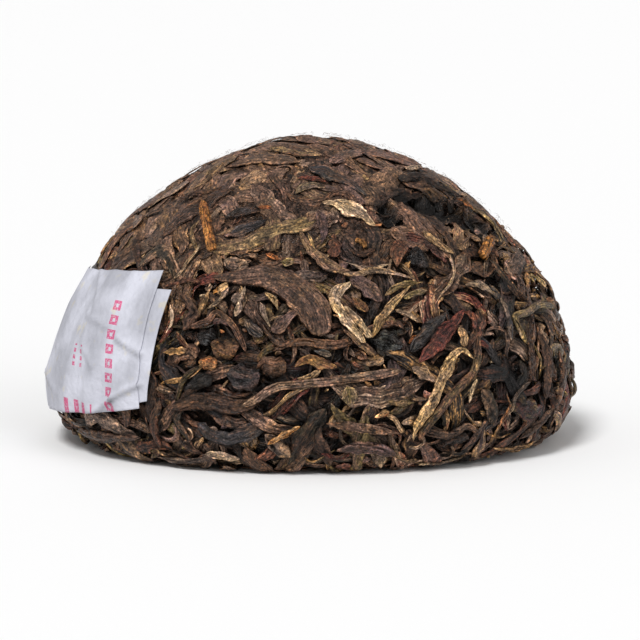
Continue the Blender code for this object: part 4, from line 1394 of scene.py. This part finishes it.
def make_slip():
    """The paper slip: the sheet, and the turned edge that shows beside it."""
    along, up = unit_grid(SHEET_COLUMNS, SHEET_ROWS)
    front = between(SHEET_FRONT, up)
    azimuth = between((SLIP_BACK, front), along)
    head, foot = slip_edges((azimuth - SLIP_BACK) / (SLIP_FRONT - SLIP_BACK))
    lift = SHEET_LIFT * (along - 0.5) + FOOT_LIFT * (1 - along) * (1 - up) ** 4
    sheet = paper_layer(azimuth, between((foot, head), up), lift, (front - azimuth) * RADIUS)
    along, up = unit_grid(FLAP_COLUMNS, SHEET_ROWS)
    azimuth = between((FLAP_BACK, between(FLAP_FRONT, up)), along)
    foot = FLAP_HEIGHTS[0] - FLAP_FOOT_DROP * (1 - along)
    height = between((foot, FLAP_HEIGHTS[1]), up)
    flap = paper_layer(azimuth, height, FLAP_LIFT, 40 + 0 * height)
    vertices = np.concatenate([sheet[0], flap[0]])
    faces = np.concatenate([sheet[1], flap[1] + len(sheet[0])])
    return make_object("slip_of_paper", vertices, faces, {"sheet": np.concatenate([sheet[2], flap[2]])})


def fix_winding(vertices, faces):
    """Faces turned to point out, by the sign of the volume they enclose."""
    corners = vertices[faces]
    volume = np.einsum("ij,ij->i", corners[:, 0], np.cross(corners[:, 1], corners[:, 2])).sum()
    return faces if volume > 0 else faces[:, ::-1]


def make_hairs(draw):
    """Fine fibres that stand up from the dome, most on its top."""
    places, _ = scattered_places(draw, HAIRS, 0, HAIR_REACH)
    _, normals, _, azimuths = settle(places)
    level = level_directions(azimuths)
    heading = draw.uniform(0, 2 * math.pi, (HAIRS, 1))
    along = np.cos(heading) * level + np.sin(heading) * np.cross(normals, level)
    aside = np.cross(normals, along)
    share = np.linspace(0, 1, HAIR_STATIONS)[None, :, None]
    reach = draw.uniform(0.4, 1.4, (HAIRS, 1, 1))
    rise = draw.uniform(0.1, 0.5, (HAIRS, 1, 1))
    bend = draw.normal(0, 0.5, (HAIRS, 1, 1))
    route = share * along[:, None] + bend * share**2 * aside[:, None]
    route = places[:, None] + reach * (route + rise * np.sin(share * 2.4) * normals[:, None])
    turn = np.arange(3) * 2 * math.pi / 3
    ring = np.cos(turn)[:, None] * aside[:, None] + np.sin(turn)[:, None] * normals[:, None]
    vertices = with_tips(route[:, :, None] + HAIR_HALF * ring[:, None])
    faces = tube_faces(HAIR_STATIONS - 2, 3)[None] + (np.arange(HAIRS) * vertices.shape[1])[:, None, None]
    tint = to_linear(COLOURS["grey"]) * draw.uniform(0.5, 1.3, (HAIRS, 1, 1))
    tint = (tint + 0 * vertices).reshape(-1, 3)
    vertices = vertices.reshape(-1, 3)
    faces = fix_winding(vertices, faces.reshape(-1, 3))
    plain = 0 * vertices + 0.5
    attributes = {"tint": tint, "second": tint, "grain": vertices, "folds": plain}
    return make_object("fine_hairs", vertices, faces, attributes)


def blurred(heights, cells):
    """Heights averaged over squares of 2 * cells + 1 to a side."""
    for axis in (1, 2):
        shifts = [np.roll(heights, shift, axis=axis) for shift in range(-cells, cells + 1)]
        heights = sum(shifts) / len(shifts)
    return heights


def lay_all(draw, batches):
    """Lays the shown leaves, then the rest in a random order, and gives the finished surface, smoothed."""
    ceiling = make_ceiling()
    surface = np.full(ceiling.shape, BARE_LEVEL)
    covered = np.zeros(ceiling.shape, bool)
    shown = batches[0]
    for index in range(shown.count):
        lay(shown, index, ceiling, surface, covered, 0)
    order = []
    for batch in batches[1:]:
        keys = draw.uniform(0, 1, batch.count) + LATER.get(batch.name, 0)
        order += [(key, batch, index) for index, key in enumerate(keys)]
    order.sort(key=lambda entry: entry[0])
    laid = {batch.name: 0 for batch in batches}
    for _, batch, index in order:
        if laid[batch.name] >= batch.limit:
            continue
        if lay(batch, index, ceiling, surface, covered, LEAST_SHOWN):
            laid[batch.name] += 1
    return blurred(blurred(surface, 2), 2)


def make_floor():
    """The plain pale floor."""
    bpy.ops.mesh.primitive_plane_add(size=FLOOR_SIZE)
    floor = bpy.context.object
    floor.name = "floor"
    graph = Graph("floor")
    graph.shader.inputs["Base Color"].default_value = FLOOR_COLOUR
    graph.shader.inputs["Roughness"].default_value = FLOOR_ROUGHNESS
    floor.data.materials.append(graph.material)


def add_sun(name, azimuth, elevation, softness, power):
    """A sun that shines from this azimuth and elevation, in degrees."""
    light = bpy.data.lights.new(name, "SUN")
    light.angle = math.radians(softness)
    light.energy = power
    item = bpy.data.objects.new(name, light)
    bpy.context.scene.collection.objects.link(item)
    turn = math.radians(azimuth)
    rise = math.radians(elevation)
    toward = Vector((math.sin(turn) * math.cos(rise), -math.cos(turn) * math.cos(rise), math.sin(rise)))
    item.rotation_euler = toward.to_track_quat("Z", "Y").to_euler()


def make_camera():
    """A long lens at the photograph's viewing angle."""
    camera = bpy.data.cameras.new("camera")
    camera.lens = LENS
    camera.sensor_width = SENSOR_WIDTH
    camera.shift_x = SHIFT_X
    camera.shift_y = SHIFT_Y
    item = bpy.data.objects.new("camera", camera)
    bpy.context.scene.collection.objects.link(item)
    aim = Vector((0, 0, AIM_HEIGHT))
    toward = Vector((0, -math.cos(CAMERA_ELEVATION), math.sin(CAMERA_ELEVATION)))
    item.location = aim + CAMERA_DISTANCE * toward
    item.rotation_euler = (aim - item.location).to_track_quat("-Z", "Y").to_euler()
    camera.clip_end = CLIP_END
    bpy.context.scene.camera = item


def light_scene():
    """Soft studio light: a pale world, a soft key from the left and a softer fill."""
    world = bpy.data.worlds.new("world")
    world.use_nodes = True
    world.node_tree.nodes["Background"].inputs["Color"].default_value = (1, 1, 1, 1)
    world.node_tree.nodes["Background"].inputs["Strength"].default_value = WORLD_STRENGTH
    bpy.context.scene.world = world
    for sun in SUNS:
        add_sun(*sun)
    bpy.context.scene.view_settings.view_transform = "Standard"


def main():
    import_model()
    draw = np.random.default_rng(SEED)
    batches = [shown_leaves(draw)]
    for name, kind in KINDS.items():
        batches.append(cover_leaves(draw, name, kind))
    surface = lay_all(draw, batches)
    material = leaf_material()
    core = make_core()
    core.data.materials.append(material)
    pieces = [core]
    for batch in batches:
        vertices, faces, attributes = leaf_mesh(batch, surface)
        piece = make_object(batch.name, vertices, fix_winding(vertices, faces), attributes)
        piece.data.materials.append(material)
        pieces.append(piece)
    hairs = make_hairs(draw)
    hairs.data.materials.append(material)
    pieces.append(hairs)
    slip = make_slip()
    slip.data.materials.append(paper_material())
    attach(slip, "root")
    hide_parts("paper_slip")
    for piece in pieces:
        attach(piece, "root")
        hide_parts("tea_cake")
    make_floor()
    make_camera()
    light_scene()


main()
